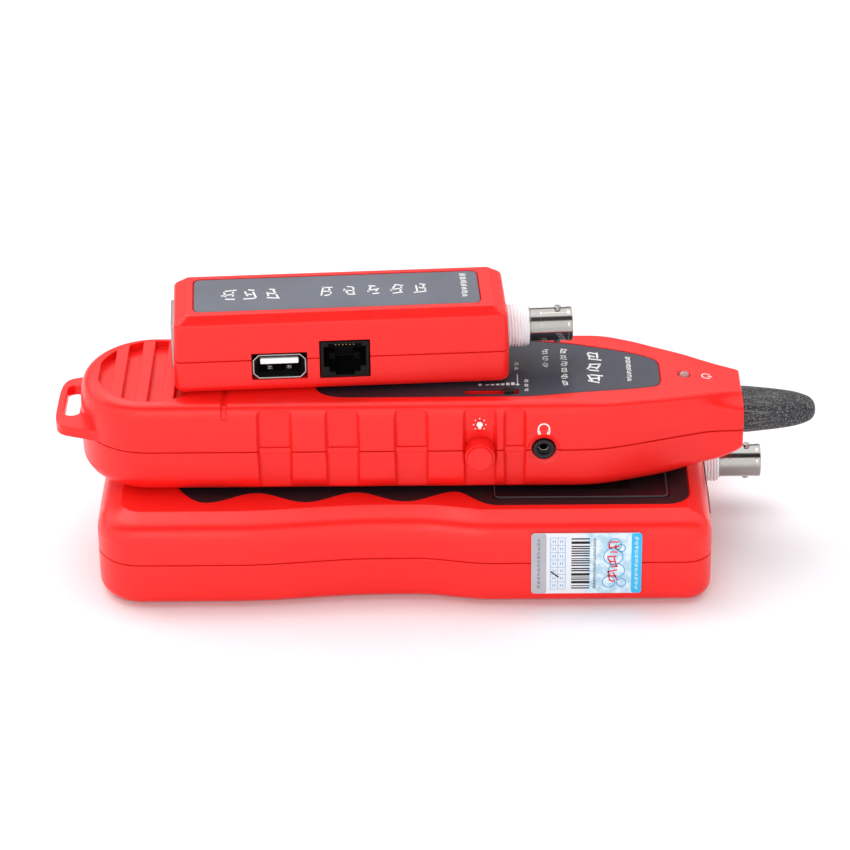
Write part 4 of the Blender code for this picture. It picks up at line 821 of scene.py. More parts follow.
def caption(centre, count, size, pitch, along, stretch=1.0):
    """Stand-ins for a run of printed characters: a few loose strokes each, no letters."""
    chance = random.Random(count + round(10 * pitch))
    outlines = []
    for i in range(count):
        shift = (i - (count - 1) / 2) * pitch
        x, y = (centre[0] + shift, centre[1]) if along == "x" else (centre[0], centre[1] + shift)
        for row in (-0.36, 0.0, 0.36):
            flat = bar(0.0, 0.0, size * chance.uniform(0.35, 0.8), size * 0.12)
            place = (x + size * chance.uniform(-0.12, 0.12), y + row * size * stretch)
            outlines.append(turn(flat, chance.uniform(-22.0, 16.0), place))
        for column in (-0.27, 0.2):
            upright = bar(0.0, 0.0, size * 0.11, size * stretch * chance.uniform(0.3, 0.85))
            place = (x + size * column, y + size * chance.uniform(-0.12, 0.12))
            outlines.append(turn(upright, chance.uniform(-26.0, 26.0), place))
    return outlines


POWER_SIGN = ((bow(1.5, 125, 415), 0.4), ([(0.0, 0.5), (0.0, 1.9)], 0.4))


# ---------------------------------------------------------------- line tester

TESTER_WALL = 2.2
TESTER_FOOT = 4.0  # rounding along the underside
KEY_HOLE = 4.9
WINDOW_CORNER = 2.0
TESTER_JACKS = ("rj45_jack", "rj11_jack", "usb_shell")
KEYS = ("key_power", "key_back", "key_enter", "key_down", "key_up")


def tester_half_width(x):
    """Half the tester's width, drawn in at the waist."""
    return TESTER_WIDTH / 2 - 3.1 * (smooth(-48.0, -7.0, x) - smooth(3.0, 25.0, x))


def tester_outline():
    """The tester seen from above, with a wide round tail and tighter corners at the nose."""
    length, side = TESTER_LENGTH / 2, -TESTER_WIDTH / 2
    half = [(-length + 13.0 * (1 - math.cos(a)), side + 13.0 * (1 - math.sin(a))) for a in quarter(12)]
    half += [(x, -tester_half_width(x)) for x in steps(-48.0, 25.0, 32)]
    half += [(length - 7.5 * (1 - math.sin(a)), side + 7.5 * (1 - math.cos(a))) for a in quarter(12)]
    return mirrored(half)


def tester_label_outline():
    """The face label, scalloped along both edges beside the keys."""
    def half_width(x):
        scallops = 25.0 + 2.6 * math.cos(2 * math.pi * (x + 56.2) / 28.4)
        return scallops + (30.0 - scallops) * smooth(15.0, 27.3, x)

    half = []
    for angle in quarter(14)[1:]:
        x = -56.2 - 13.3 * math.cos(angle)
        half.append((x, -half_width(x) * math.sin(angle)))
    half += [(x, -half_width(x)) for x in steps(-54.0, 27.0, 60)]
    half += [(74.8 + 6.5 * math.sin(a), -23.5 - 6.5 * math.cos(a)) for a in quarter(10)]
    return mirrored(half)


def window_box():
    """The display window's centre, length and width."""
    low, high = extent("tester_display_window")
    return ((low.x + high.x) / 2, 0.0), high.x - low.x, high.y - low.y


def window_hole(low, high):
    """A cutter for the display window, with its clearance."""
    centre, length, width = window_box()
    return prism(rectangle(length + 2 * GAP, width + 2 * GAP, WINDOW_CORNER, centre), low, high)


def key_holes(low, high):
    """A cutter for the five keys."""
    holes = bmesh.new()
    for node in KEYS:
        x, y, _ = middle(node)
        rod(KEY_HOLE, low, high, "Z", (x, y, 0.0), holes)
    return holes


def tester_shells():
    """Front and rear covers, the battery door and the seam's inner lip."""
    outline, top, wall = tester_outline(), TESTER_TOP, TESTER_WALL

    def shell(places):
        return [lift(inset(outline, reach) if reach else outline, level) for reach, level in places]

    rim = TESTER_PARTING + GAP / 2
    shoulder = rounded_run([(6.5, top - 0.31), (4.6, top - 1.1), (2.3, top - 2.2), (0.8, top - 4.1),
                            (0.1, top - 6.6), (0.0, top - 8.6)], 4)
    outside = shell([(7.4, top), (7.1, top - 0.03), (6.8, top - 0.14)] + shoulder[:-1])
    outside += shell([(0.0, rim + 0.2), (0.15, rim)])
    inside = shell([(wall, rim), (wall, top - 3.2 - 1.0), (7.2, top - 2.5)])
    front = bare("tester_front_shell", skin(outside + inside), TESTER)
    carve(front, sunk(inset(tester_label_outline(), -GAP), top - 0.8, top))
    carve(front, window_hole(top - 1.5, top + 2.0))
    carve(front, prism(rectangle(32.0, 48.0, 1.0, window_box()[0]), top - 5.0, top))
    carve(front, key_holes(top - 5.0, top + 2.0))
    cut_ports(front, TESTER, "tester", 7.2, TESTER_LENGTH, TESTER_JACKS)
    finished(front, "red", "main_tester", "tester_front_cover")

    rim = TESTER_PARTING - GAP / 2
    outside = [lift(inset(outline, reach), level) for reach, level in rounding(TESTER_FOOT, 8)]
    outside += shell([(0.0, rim - 0.2), (0.15, rim)])
    inside = shell([(wall, rim), (wall, 5.0), (wall + 2.4, wall)])
    door_low, door_high = extent("tester_battery_door")
    opening_low = Vector((-TESTER_LENGTH, door_low.y, -5.0))
    rear = bare("tester_rear_shell", skin(outside + inside), TESTER)
    carve(rear, brick(opening_low - CLEAR, door_high + CLEAR))
    for i in range(4):
        carve(rear, screw_well(f"tester_case_screw_{i + 1}", TESTER, 0.25, 3.0))
    cut_ports(rear, TESTER, "tester", 7.2, TESTER_LENGTH, TESTER_JACKS)
    finished(rear, "red", "main_tester", "tester_rear_cover")

    door = bare("tester_door_panel", skin(outside + inside), TESTER)
    carve(door, brick(opening_low, door_high), "INTERSECT")
    carve(door, door_grips(-82.0, 6, 9.0))
    finished(door, "red", "tester_battery_door", "tester_battery_door")

    band = rim_tube(inset(outline, 0.6), inset(outline, 1.4), TESTER_PARTING - LIP, TESTER_PARTING + LIP)
    lip = bare("tester_seam_lip", band, TESTER)
    cut_ports(lip, TESTER, "tester", 7.2, TESTER_LENGTH, TESTER_JACKS)
    finished(lip, "red", "main_tester")


def key_legend(node):
    """A plain pictogram for each key."""
    if node == "key_power":
        return [stroke(*line) for line in POWER_SIGN]
    if node == "key_enter":
        return [stroke([(-1.4, 0.1), (-0.4, -0.9), (1.5, 1.1)], 0.45)]
    if node == "key_back":
        return [stroke(bow(1.2, -150, 120), 0.4), [(-0.4, 0.5), (-0.4, 1.7), (-1.5, 1.1)]]
    side = 1.4 if node == "key_up" else -1.4
    tip = 1.6 if node == "key_up" else -1.6
    return [[(-side, -tip * 0.5), (side, -tip * 0.5), (0.0, tip)]]


def tester_keys():
    """The five domed keys and their legends."""
    for node in KEYS:
        low, high = extent(node)
        x, y, _ = middle(node)
        top = high.z
        profile = [(0.0, top - 0.35), (1.8, top - 0.28), (3.3, top - 0.06), (3.8, top), (4.25, top - 0.08),
                   (4.55, top - 0.4), (4.6, top - 0.8), (4.6, top - 2.7), (6.0, top - 2.7),
                   (6.0, top - 3.7), (1.5, top - 3.7), (1.5, low.z), (0.0, low.z)]
        piece(f"{node}_cap", turned(profile, "Z", (x, y, 0.0), 48), TESTER, "key_rubber", node, node)
        outlines = [[(x + u, y + v) for u, v in outline] for outline in key_legend(node)]
        legend = printed(outlines, lambda u, v, height: (u, v, top - 0.27 + height))
        piece(f"{node}_legend", legend, TESTER, "mark", node, slot="black_rubber")


def tester_face():
    """Label, window and display."""
    label_low, label_high = extent("tester_face_label")
    label = bare("tester_label_sheet", prism(tester_label_outline(), label_low.z, label_high.z), TESTER)
    carve(label, window_hole(label_low.z - 1.0, label_high.z + 1.0))
    carve(label, key_holes(label_low.z - 1.0, label_high.z + 1.0))
    finished(label, "tester_label", "main_tester", "tester_face_label")

    def over_label(u, v, height):
        return (u, v, label_high.z + height)

    marks = [stroke(bow(5.9, 0, 359.9, middle(node)[:2], 64), 0.28) for node in KEYS]
    marks += [bar(-42.0, 0.0, 6.0, 0.3), bar(-13.5, 0.0, 0.3, 12.0)]
    piece("tester_label_marks", printed(marks, over_label), TESTER, "mark_dull", "main_tester")

    low, high = extent("tester_display_window")
    centre, length, width = window_box()
    top = high.z
    outline = rectangle(length, width, WINDOW_CORNER, centre)
    rings = [lift(outline, low.z), lift(outline, top - 0.25)]
    for reach, drop in ((0.08, 0.08), (0.25, 0.0), (0.5, 0.0), (0.65, 0.08), (0.8, 0.35), (1.1, 0.42)):
        rings.append(lift(inset(outline, reach), top - drop))
    piece("tester_window_pane", skin(rings), TESTER, "glass", "main_tester", "tester_display_window")
    screen = prism(rectangle(28.5, 43.0, 0.8, centre), top - 0.6, top - 0.40)
    piece("tester_screen", screen, TESTER, "display", "main_tester")
    # Painted glint: a slim raised rim in grey round the pane's edge.
    glint = rectangle(length - 0.7, width - 0.7, 1.7, centre, 8)
    rim = rim_tube(inset(glint, -0.04), inset(glint, 0.12), top - 0.03, top + 0.06)
    piece("tester_window_glint_rim", rim, TESTER, "note", "main_tester", slot="clear_plastic")


def tester_sticker():
    """The seal sticker: film, ruled grid, bars and a coloured edge band, with no lettering."""
    low, high = extent("inspection_sticker")
    length, tall = high.x - low.x, high.z - low.z
    centre = ((low.x + high.x) / 2, (low.z + high.z) / 2)
    wall, row = low.y, tall / 2

    def outline_ring(y, ease):
        return [(x, y, z) for x, z in rectangle(length - 2 * ease, tall - 2 * ease, 1.0 - ease, centre)]

    def over(u, v, height):
        return (low.x + u, wall - height, low.z + v)

    def layer(name, outlines, look, ink=0.02):
        piece(f"seal_sticker_{name}", printed(outlines, over, ink), TESTER, look, "main_tester",
              slot="sticker_film")

    rings = [outline_ring(high.y, 0.0), outline_ring(wall + 0.04, 0.0), outline_ring(wall, 0.04)]
    piece("seal_sticker_film", skin(rings), TESTER, "sticker", "main_tester", "inspection_sticker")
    layer("band", [rectangle(2.9, tall - 0.1, 0.7, (length - 1.5, row), 4)], "cyan", 0.01)
    layer("strip", [rectangle(4.2, tall - 0.1, 0.7, (2.15, row), 4)], "strip", 0.01)
    rules = [bar(u, row, 0.14, 17.0) for u in (5.4, 7.5, 9.6)]
    rules += [bar(7.5, v, 4.3, 0.14) for v in steps(1.5, 18.5, 7)]
    rules += [bar(u + shift, v, 0.24, 0.9) for u in (6.45, 8.55) for v in steps(2.7, 17.3, 6)
              for shift in (-0.3, 0.3)]
    layer("rules", rules, "blue")
    chance = random.Random(4)
    bars = []
    v = 1.6
    while v < tall - 1.9:
        thick = chance.choice((0.30, 0.42, 0.42, 0.85))
        bars.append(bar(13.9, v + thick / 2, 5.2, thick))
        v += thick + chance.choice((0.32, 0.4, 0.6))
    ticks = caption((17.9, row), 16, 1.0, 1.05, "y") + [turn(bar(0.0, 0.0, 3.0, 0.45), -40, (6.6, 6.4))]
    layer("notes", caption((2.1, row), 12, 1.1, 1.4, "y"), "note")
    layer("bars", bars + ticks, "black")
    layer("flecks", caption((length - 1.5, row), 12, 1.25, 1.48, "y"), "mark")
    circles = ((1.9, 0.6, 6.2), (2.7, 0.2, 2.2), (2.3, 1.2, -2.4), (1.8, -1.0, -6.2), (1.2, 2.4, 5.0),
               (1.3, 2.6, -6.4))
    swirls = [bow(radius, 0, 359.9, (22.9 + du, row + dv), 40) for radius, du, dv in circles]
    layer("swirls", [stroke(swirl, 0.32) for swirl in swirls], "blue")
    layer("strokes", caption((23.0, row + 0.6), 3, 3.7, 4.8, "y", 1.25), "red", 0.03)


# ---------------------------------------------------------------- tone probe

PROBE_WALL = 1.9
PROBE_FOOT = 5.0
TAIL_ROUND = 21.0  # length of the round tail
LOOP_THICKNESS = 3.2
PANEL_TOP = 26.5
PANEL_DEPTH = 0.8
PANEL_RIM = ((-0.5, 0.0), (-0.32, 0.06), (0.05, 0.6), (0.25, 0.8), (0.38, 0.9), (0.38, 5.0))
PANELS = ((-40.3, -31.0), (-21.0, -11.9), (-1.5, 7.6), (18.0, 26.9), (29.4, 35.2))
LABEL_DEPTH = GAP - 0.8  # the label's underside, from the top face
LABEL_HALF_WIDTH = 16.3
VENT_CENTRE, VENT_PITCH = -70.5, 7.4
SLIDER_Y = middle("sensitivity_slider", PROBE)[1]
TRACK = (18.4, 33.6)
TIP_AXIS = middle("probe_antenna_core", PROBE)[2]


def probe_half_width(x):
    """Half the probe's width at its parting line, tapering to the nose."""
    return eased([(45, 22.5), (56, 22.1), (65, 19.9), (73.5, 17.1), (82, 14.3), (88, 12.6), (98, 11.9)], x)


def probe_top(x):
    """Height of the probe's top face, falling to the nose."""
    drop = [(44, 0), (50, 0.1), (56, 0.4), (62, 0.75), (68, 1.2), (73, 1.75), (82, 2.6), (90, 3.6), (98, 4.8)]
    return PROBE_TOP - eased(drop, x)


def probe_floor(x):
    """Height of the probe's underside, rising at the nose."""
    return eased([(74, 0), (83, 1.1), (91, 2.7), (98, 6.2)], x)


def probe_outline():
    """The probe seen from above at its parting line."""
    half = [(PROBE_TAIL + TAIL_ROUND * (1 - math.cos(a)), -PROBE_HALF_WIDTH * math.sin(a))
            for a in steps(0.09, math.pi / 2, 18)]
    half += [(x, -probe_half_width(x)) for x in steps(-60.0, 40.0, 10) + steps(42.0, PROBE_NOSE - 2.0, 36)]
    half += [(PROBE_NOSE - reach, rise - probe_half_width(PROBE_NOSE)) for reach, rise in rounding(0.8, 5)]
    return mirrored(half)


def probe_inset(outline, distance, lean):
    """The outline moved inwards; past its straight run it narrows, and leans back at the nose."""
    moved = []
    for (x, y), (inner_x, inner_y) in zip(outline, inset(outline, distance)):
        if x > 41.0:
            inner_x = x - lean * distance * (x - 41.0) / (PROBE_NOSE - 41.0)
            inner_y = y * (1.0 - distance / probe_half_width(x))
        moved.append((inner_x, inner_y))
    return moved


def probe_upper_ring(outline, distance, level, lean=1.0, crisp=0.0):
    """A ring of the upper shell; a crisp one rounds less past the taper, and the nose is drawn in."""
    rim = PROBE_PARTING + GAP / 2
    share = (level - rim) / (PROBE_TOP - rim)
    ring = []
    for x, y in probe_inset(outline, distance, lean):
        facet = eased([(68, 0), (82, 0.6), (86.6, 1.6), (92, 3.6), (98, 5.6)], x)
        drawn_in = facet * smooth(0.6, 1.0, share) - crisp * distance * smooth(45.0, 62.0, x)
        ring.append((x, y * (1.0 - drawn_in / probe_half_width(x)), rim + share * (probe_top(x) - rim)))
    return ring


def probe_lower_ring(outline, distance, level):
    """A ring of the lower shell, over the rising underside."""
    rim = PROBE_PARTING - GAP / 2
    share = level / rim
    return [(x, y, probe_floor(x) + share * (rim - probe_floor(x)))
            for x, y in probe_inset(outline, distance, 1.0)]


def tip_solid(growth, places):
    """The antenna tip as a soft-cornered taper along X."""
    stations = ((97.8, 8.0, 5.6), (105, 7.3, 5.1), (110, 6.6, 4.6), (114, 5.7, 4.0), (117.3, 4.3, 3.0),
                (118.7, 2.8, 2.0), (119.3, 1.2, 0.9))
    rings = []
    for x in places:
        width = eased([(at, wide) for at, wide, _ in stations], x) + growth
        height = eased([(at, high) for at, _, high in stations], x) + growth
        around = [[math.copysign(abs(part) ** 0.8, part) for part in point]
                  for point in circle(1.0, count=48)]
        rings.append([(x, width * c, TIP_AXIS + height * s) for c, s in around])
    return loft(rings)


def lanyard():
    """The flat loop on the tail, with its edges rounded."""
    front = [(-99.2, 0.0), (-99.2, -6.0), (-98.8, -9.4), (-97.2, -11.7), (-94.3, -12.9), (-86.0, -15.6)]
    back = [(-86.0, 17.6), (-93.4, 16.6), (-97.0, 15.4), (-98.6, 12.6), (-99.2, 7.0), (-99.2, 0.0)]
    root = [(PROBE_TAIL + TAIL_ROUND * (1 - math.sqrt(1 - (y / PROBE_HALF_WIDTH) ** 2)) + 1.0, y)
            for y in steps(-16.5, 18.5, 12)]
    low = PROBE_PARTING + GAP / 2
    outline = rounded_run(front, 3)[:-1] + root + rounded_run(back, 3)[1:-1]
    loop = prism(outline, low, low + LOOP_THICKNESS)
    edges = [edge for edge in loop.edges if edge.calc_face_angle(0.0) > 1.0 and edge.verts[0].co.x < -92.0]
    bmesh.ops.bevel(loop, geom=edges, offset=0.6, segments=3, profile=0.5, affect="EDGES")
    return loop


def lanyard_hole():
    """The cutter for the loop's hole, flared at both faces."""
    low = PROBE_PARTING + GAP / 2
    hole = rectangle(4.3, 17.4, 2.1, (-94.8, 2.8), 8)
    flare = ((0.4, -1.0), (0.35, 0.0), (0.1, 0.35), (0.0, 0.7), (0.0, 2.5), (0.1, 2.85),
             (0.35, LOOP_THICKNESS), (0.4, 4.0))
    return skin([lift(inset(hole, -grow) if grow else hole, low + level) for grow, level in flare])


def vent(x_middle):
    """A cutter for one sound slot, shaped to the round field they share."""
    half = []
    for x in steps(x_middle - 1.95, x_middle + 1.95, 8):
        share = min(0.97, abs(x - VENT_CENTRE) / 16.5)
        half.append((x, -18.0 * math.sqrt(1.0 - share * share)))
    return sunk(mirrored(half), PROBE_TOP - 2.3, PROBE_TOP, 0.22, 0.12)


def panel_draft(z):
    """How far a grip panel's floor leans in with the upper wall."""
    return 1.0 * smooth(20.5, 26.6, z)


def grip_panels(obj):
    """Shallow recesses across both sides, with round upper corners."""
    floor = PROBE_HALF_WIDTH - PANEL_DEPTH
    for side in (-1, 1):
        for start, end in PANELS:
            outline = rectangle(end - start, 36.0, 1.3, ((start + end) / 2, PANEL_TOP - 18.0), 8)
            rings = []
            for grow, depth in PANEL_RIM:
                rings.append([(x, side * (floor - panel_draft(z) + depth), z)
                              for x, z in inset(outline, -grow)])
            carve(obj, skin(rings))


def probe_side_holes(obj):
    """Holes for the torch button and the earphone jack, and the nose opening."""
    for node, radius in (("torch_button", 4.2), ("earphone_jack", 3.4)):
        x, _, z = middle(node, PROBE)
        carve(obj, rod(radius, -26.0, -18.0, "Y", (x, 0.0, z)))
    dish = [(0.0, -26.0), (6.5, -26.0), (5.2, -23.0), (4.6, -22.35), (3.6, -21.9), (0.0, -21.9)]
    carve(obj, turned(dish, "Y", (x, 0.0, z), 48))
    carve(obj, tip_solid(GAP, (90.0, 95.0, 101.0)))


def probe_top_shell(outline):
    """The upper cover with its loop, vents, seam groove, label pocket, slider track and lamp hole."""
    rim, wall = PROBE_PARTING + GAP / 2, PROBE_WALL
    profile = rounded_run([(0.0, rim + 0.6), (0.2, 23.2), (1.3, 26.7), (3.3, 27.9), (5.2, 28.0)], 5)
    rings = [probe_upper_ring(outline, *place, 0.2, 0.68) for place in reversed(profile)]
    rings += [probe_upper_ring(outline, *place) for place in (
        (0.0, rim + 0.2), (0.13, rim), (wall, rim), (wall + 0.3, 23.0), (wall + 2.2, PROBE_TOP - 2.8))]
    cover = bare("probe_top_shell", skin(rings), PROBE)
    carve(cover, lanyard(), "UNION")
    carve(cover, lanyard_hole())
    for i in range(-2, 3):
        carve(cover, vent(VENT_CENTRE + i * VENT_PITCH + 0.9))
    groove = [(0.0, 24.0), (0.35, 25.0), (1.1, 26.65), (2.1, 27.6), (3.2, 28.05), (4.6, 28.25), (6.6, 28.4)]
    path = [(-49.8, distance - PROBE_HALF_WIDTH, level) for distance, level in groove]
    carve(cover, swept(path + [(x, -y, z) for x, y, z in reversed(path)], 1.0, 20))
    label = inset(probe_label_outline(), -GAP)
    rings = []
    for grow, depth in ((0.0, -0.8), (0.0, -0.25), (0.08, -0.08), (0.25, 0.0), (0.25, 2.0)):
        rings.append([(x, y, probe_top(x) + depth) for x, y in inset(label, -grow)])
    carve(cover, skin(rings))
    carve(cover, brick((TRACK[0], SLIDER_Y - 1.4, PROBE_TOP - 1.9),
                       (TRACK[1], SLIDER_Y + 1.4, PROBE_TOP + 2.0), 0.1))
    carve(cover, brick((TRACK[0] + GAP, SLIDER_Y - 0.9, PROBE_TOP - 9.0),
                       (TRACK[1] - GAP, SLIDER_Y + 0.9, PROBE_TOP)))
    x = middle("power_lamp", PROBE)[0]
    face = probe_top(x)
    hole = [(0.0, 15.0), (1.75, 15.0), (1.75, face - 0.3), (2.1, face - 0.05), (2.3, 30.0), (0.0, 30.0)]
    carve(cover, turned(hole, "Z", (x, 0.0, 0.0), 40))
    grip_panels(cover)
    probe_side_holes(cover)
    finished(cover, "red", "tone_probe", "probe_top_cover")


def probe_shells():
    """Both covers, the battery door and the seam's inner lip."""
    outline, wall = probe_outline(), PROBE_WALL
    probe_top_shell(outline)

    rim = PROBE_PARTING - GAP / 2
    places = rounding(PROBE_FOOT, 10)
    places += [(0.0, rim - 0.2), (0.13, rim), (wall, rim), (wall, 5.0), (wall + 2.6, wall)]
    rings = [probe_lower_ring(outline, *place) for place in places]
    door_low, door_high = extent("probe_battery_door", PROBE)
    opening_low = Vector((-200.0, door_low.y, -5.0))
    cover = bare("probe_bottom_shell", skin(rings), PROBE)
    carve(cover, brick(opening_low - CLEAR, door_high + CLEAR))
    for i in range(2):
        carve(cover, screw_well(f"probe_case_screw_{i + 1}", PROBE, 0.3, 3.0))
    grip_panels(cover)
    probe_side_holes(cover)
    finished(cover, "red", "tone_probe", "probe_bottom_cover")

    door = bare("probe_door_panel", skin(rings), PROBE)
    carve(door, brick(opening_low, door_high), "INTERSECT")
    carve(door, door_grips(-84.0, 5, 7.0))
    finished(door, "red", "probe_battery_door", "probe_battery_door")

    band = [probe_inset(outline, distance, 1.0) for distance in (0.95, 1.6)]
    lip = bare("probe_seam_lip", rim_tube(*band, PROBE_PARTING - LIP, PROBE_PARTING + LIP), PROBE)
    probe_side_holes(lip)
    finished(lip, "red", "tone_probe")


def probe_label_outline():
    """The label on the probe's face, square at the tail and drawn to a point at the nose."""
    side = -LABEL_HALF_WIDTH
    half = rounded_run([(-24.4, -8.0), (-23.6, -12.0), (-21.4, -14.8), (-17.6, -16.2), (-12.0, side),
                        (0.0, side)], 3)
    half += [(x, side) for x in (8.0, 15.0, 22.0, 30.0)]
    taper = [(30, side), (36, side), (42, -15.6), (50, -14.2), (56, -12.9), (62, -11.6), (68, -9.9),
             (71.0, -8.7)]
    half += [(x, eased(taper, x)) for x in steps(32.0, 71.0, 26)]
    half += rounded_run([(71.2, -8.6), (73.4, -7.4), (74.0, -4.6)], 4)[1:]
    return mirrored(half + [(74.0, -2.0)])


def probe_face():
    """The probe's label with its stand-in marks, the slider and its scale."""
    rings = [[(x, y, probe_top(x) + level) for x, y in probe_label_outline()]
             for level in (LABEL_DEPTH, LABEL_DEPTH + 0.3)]
    label = bare("probe_label_sheet", skin(rings), PROBE)
    carve(label, brick((TRACK[0], SLIDER_Y - 1.35, PROBE_TOP - 3.0),
                       (TRACK[1], SLIDER_Y + 1.35, PROBE_TOP + 3.0)))
    finished(label, "probe_label", "tone_probe", "probe_face_label")

    def over_label(u, v, height):
        return (u, v, probe_top(u) + LABEL_DEPTH + 0.3 + height)

    y = SLIDER_Y + 4.1
    marks = []
    for i in range(6):
        x, rise = 24.2 + i * 1.45, 0.22 * i
        marks.append([(x, y - 0.3), (x + 1.0, y - 0.3), (x + 1.0, y + 0.1 + rise), (x, y + rise)])
    marks += [circle(0.5, (x, y), 20) for x in (22.6, 33.3)]
    marks += [stroke([(33.3, y + 0.4), (33.3, y + 6.0)], 0.22)]
    for run in (((33.2, 1.2), 2, 1.7, 2.6), ((35.8, -10.1), 3, 1.6, 2.6), ((41.6, 5.8), 3, 2.3, 4.0, 1.3),
                ((46.9, 0.6), 6, 2.5, 3.8, 1.2), ((55.5, 0.8), 3, 5.2, 6.6), ((65.4, 0.8), 7, 1.9, 2.1)):
        marks += caption(*run[:4], "y", *run[4:])
    piece("probe_label_marks", printed(marks, over_label), PROBE, "mark", "tone_probe")

    low, high = extent("sensitivity_slider", PROBE)
    x = (low.x + high.x) / 2
    knob = bare("slider_knob", brick((low.x, low.y, PROBE_TOP - 1.5), (high.x, high.y, high.z), 0.25), PROBE)
    stem = brick((x - 1.2, SLIDER_Y - 0.55, low.z), (x + 1.2, SLIDER_Y + 0.55, PROBE_TOP - 1.2))
    carve(knob, stem, "UNION")
    for i in (-1, 0, 1):
        carve(knob, rod(0.22, SLIDER_Y - 2.0, SLIDER_Y + 2.0, "Y", (x + 0.75 * i, 0.0, high.z + 0.05)))
    finished(knob, "black", "sensitivity_slider", "sensitivity_slider")
    rails = bmesh.new()
    for inner, outer in ((-1.3, -0.95), (0.95, 1.3)):
        brick((TRACK[0] + 0.1, SLIDER_Y + inner, PROBE_TOP - 1.95),
              (TRACK[1] - 0.1, SLIDER_Y + outer, PROBE_TOP - 1.75), 0.05, rails)
    piece("slider_track_rails", rails, PROBE, "red", "tone_probe")


def probe_controls():
    """Torch button, earphone jack, lamp, tip and the printed icons beside them."""
    low, high = extent("torch_button", PROBE)
    x, _, z = middle("torch_button", PROBE)
    out, stem = low.y, high.y
    profile = [(0.0, out + 0.25), (1.6, out + 0.2), (2.7, out + 0.05), (3.15, out), (3.5, out + 0.12),
               (3.7, out + 0.5), (3.7, stem - 3.1), (4.8, stem - 3.1), (4.8, stem - 2.1), (1.5, stem - 2.1),
               (1.5, stem), (0.0, stem)]
    cap = turned(profile, "Y", (x, 0.0, z))
    piece("torch_button_cap", cap, PROBE, "red", "torch_button", "torch_button")

    def on_panel(u, v, height):
        return (u, PANEL_DEPTH + panel_draft(v) - PROBE_HALF_WIDTH - height, v)

    icon = [circle(0.85, (x, 21.6), 28), bar(x, 21.6 - 1.0, 0.8, 0.7)]
    icon += [circle(0.19, ray, 12) for ray in bow(1.75, -45, 225, (x, 21.6), 6)]
    piece("torch_icon", printed(icon, on_panel), PROBE, "mark", "tone_probe", slot="red_plastic")

    out = extent("earphone_jack", PROBE)[0].y
    x, _, z = middle("earphone_jack", PROBE)
    profile = [(0.0, -12.0), (1.75, -12.0), (1.75, out + 0.35), (2.0, out + 0.1), (2.3, out), (2.8, out),
               (3.05, out + 0.12), (3.1, out + 0.35), (3.1, -18.0), (2.9, -18.0), (2.9, -10.0), (0.0, -10.0)]
    socket = turned(profile, "Y", (x, 0.0, z), 48)
    piece("earphone_socket", socket, PROBE, "black", "tone_probe", "earphone_jack")
    ring = turned([(1.3, -20.4), (1.72, -20.4), (1.72, -19.6), (1.3, -19.6)], "Y", (x, 0.0, z), 40)
    piece("earphone_contact_ring", ring, PROBE, "nickel", "tone_probe", slot="steel")

    def on_wall(u, v, height):
        draft = 0.3 * (v - PROBE_PARTING) / 11.0
        return (u, draft - probe_half_width(u) - height, v)

    icon = [stroke(bow(1.55, -40, 220, (x, 20.5), 30), 0.42)]
    icon += [turn(bar(0.0, 0.0, 0.75, 1.3), -15 * side, (x + 1.35 * side, 20.5 - 1.15)) for side in (-1, 1)]
    piece("earphone_icon", printed(icon, on_wall), PROBE, "mark", "tone_probe", slot="red_plastic")

    x = middle("power_lamp", PROBE)[0]
    face = probe_top(x)
    profile = [(0.0, 0.85), (0.5, 0.78), (1.0, 0.5), (1.35, 0.05), (1.5, -0.5), (1.5, -3.8), (1.9, -3.8),
               (1.9, -4.6), (0.0, -4.6)]
    lens = turned([(radius, face + level) for radius, level in profile], "Z", (x, 0.0, 0.0), 40)
    piece("power_lamp_lens", lens, PROBE, "lamp", "tone_probe", "power_lamp")

    def over_nose(u, v, height):
        return (u, v, probe_top(u) + height)

    lines = (bow(1.3, 125, 415), [(0.0, 0.4), (0.0, 1.7)])
    icon = [turn(stroke(line, 0.32), -90, (87.6, 0.0)) for line in lines]
    piece("power_icon", printed(icon, over_nose), PROBE, "mark", "tone_probe", slot="red_plastic")

    places = steps(92.0, 117.0, 25) + [117.6, 118.2, 118.7, 119.0, 119.2]
    tip = bare("antenna_tip_boot", tip_solid(0.0, places), PROBE)
    carve(tip, brick((92.0, -9.0, TIP_AXIS - 3.8), (95.1, 9.0, TIP_AXIS + 3.8), 0.5), "UNION")
    finished(tip, "rubber", "tone_probe", "probe_antenna_tip", sharp=60.0)


# ---------------------------------------------------------------- remote adapter

ADAPTER_WALL = 1.8
ADAPTER_DRAFT = 0.3
ADAPTER_FOOT = 2.3
ADAPTER_CORNER = 2.2
ADAPTER_JACKS = ("rj45_jack", "rj11_jack", "usb_shell")


def adapter_ring(along, across, z, radius=ADAPTER_CORNER):
    """A ring of the adapter, drawn in by two amounts at its ends and sides."""
    return lift(rectangle(ADAPTER_LENGTH - 2 * along, ADAPTER_WIDTH - 2 * across, radius, count=10), z)


def adapter_label_outline(grow, radius):
    """The adapter's label, grown on every side."""
    low, high = extent("adapter_face_label", ADAPTER)
    centre = ((low.x + high.x) / 2, (low.y + high.y) / 2)
    return rectangle(high.x - low.x + 2 * grow, high.y - low.y + 2 * grow, radius, centre, 8)


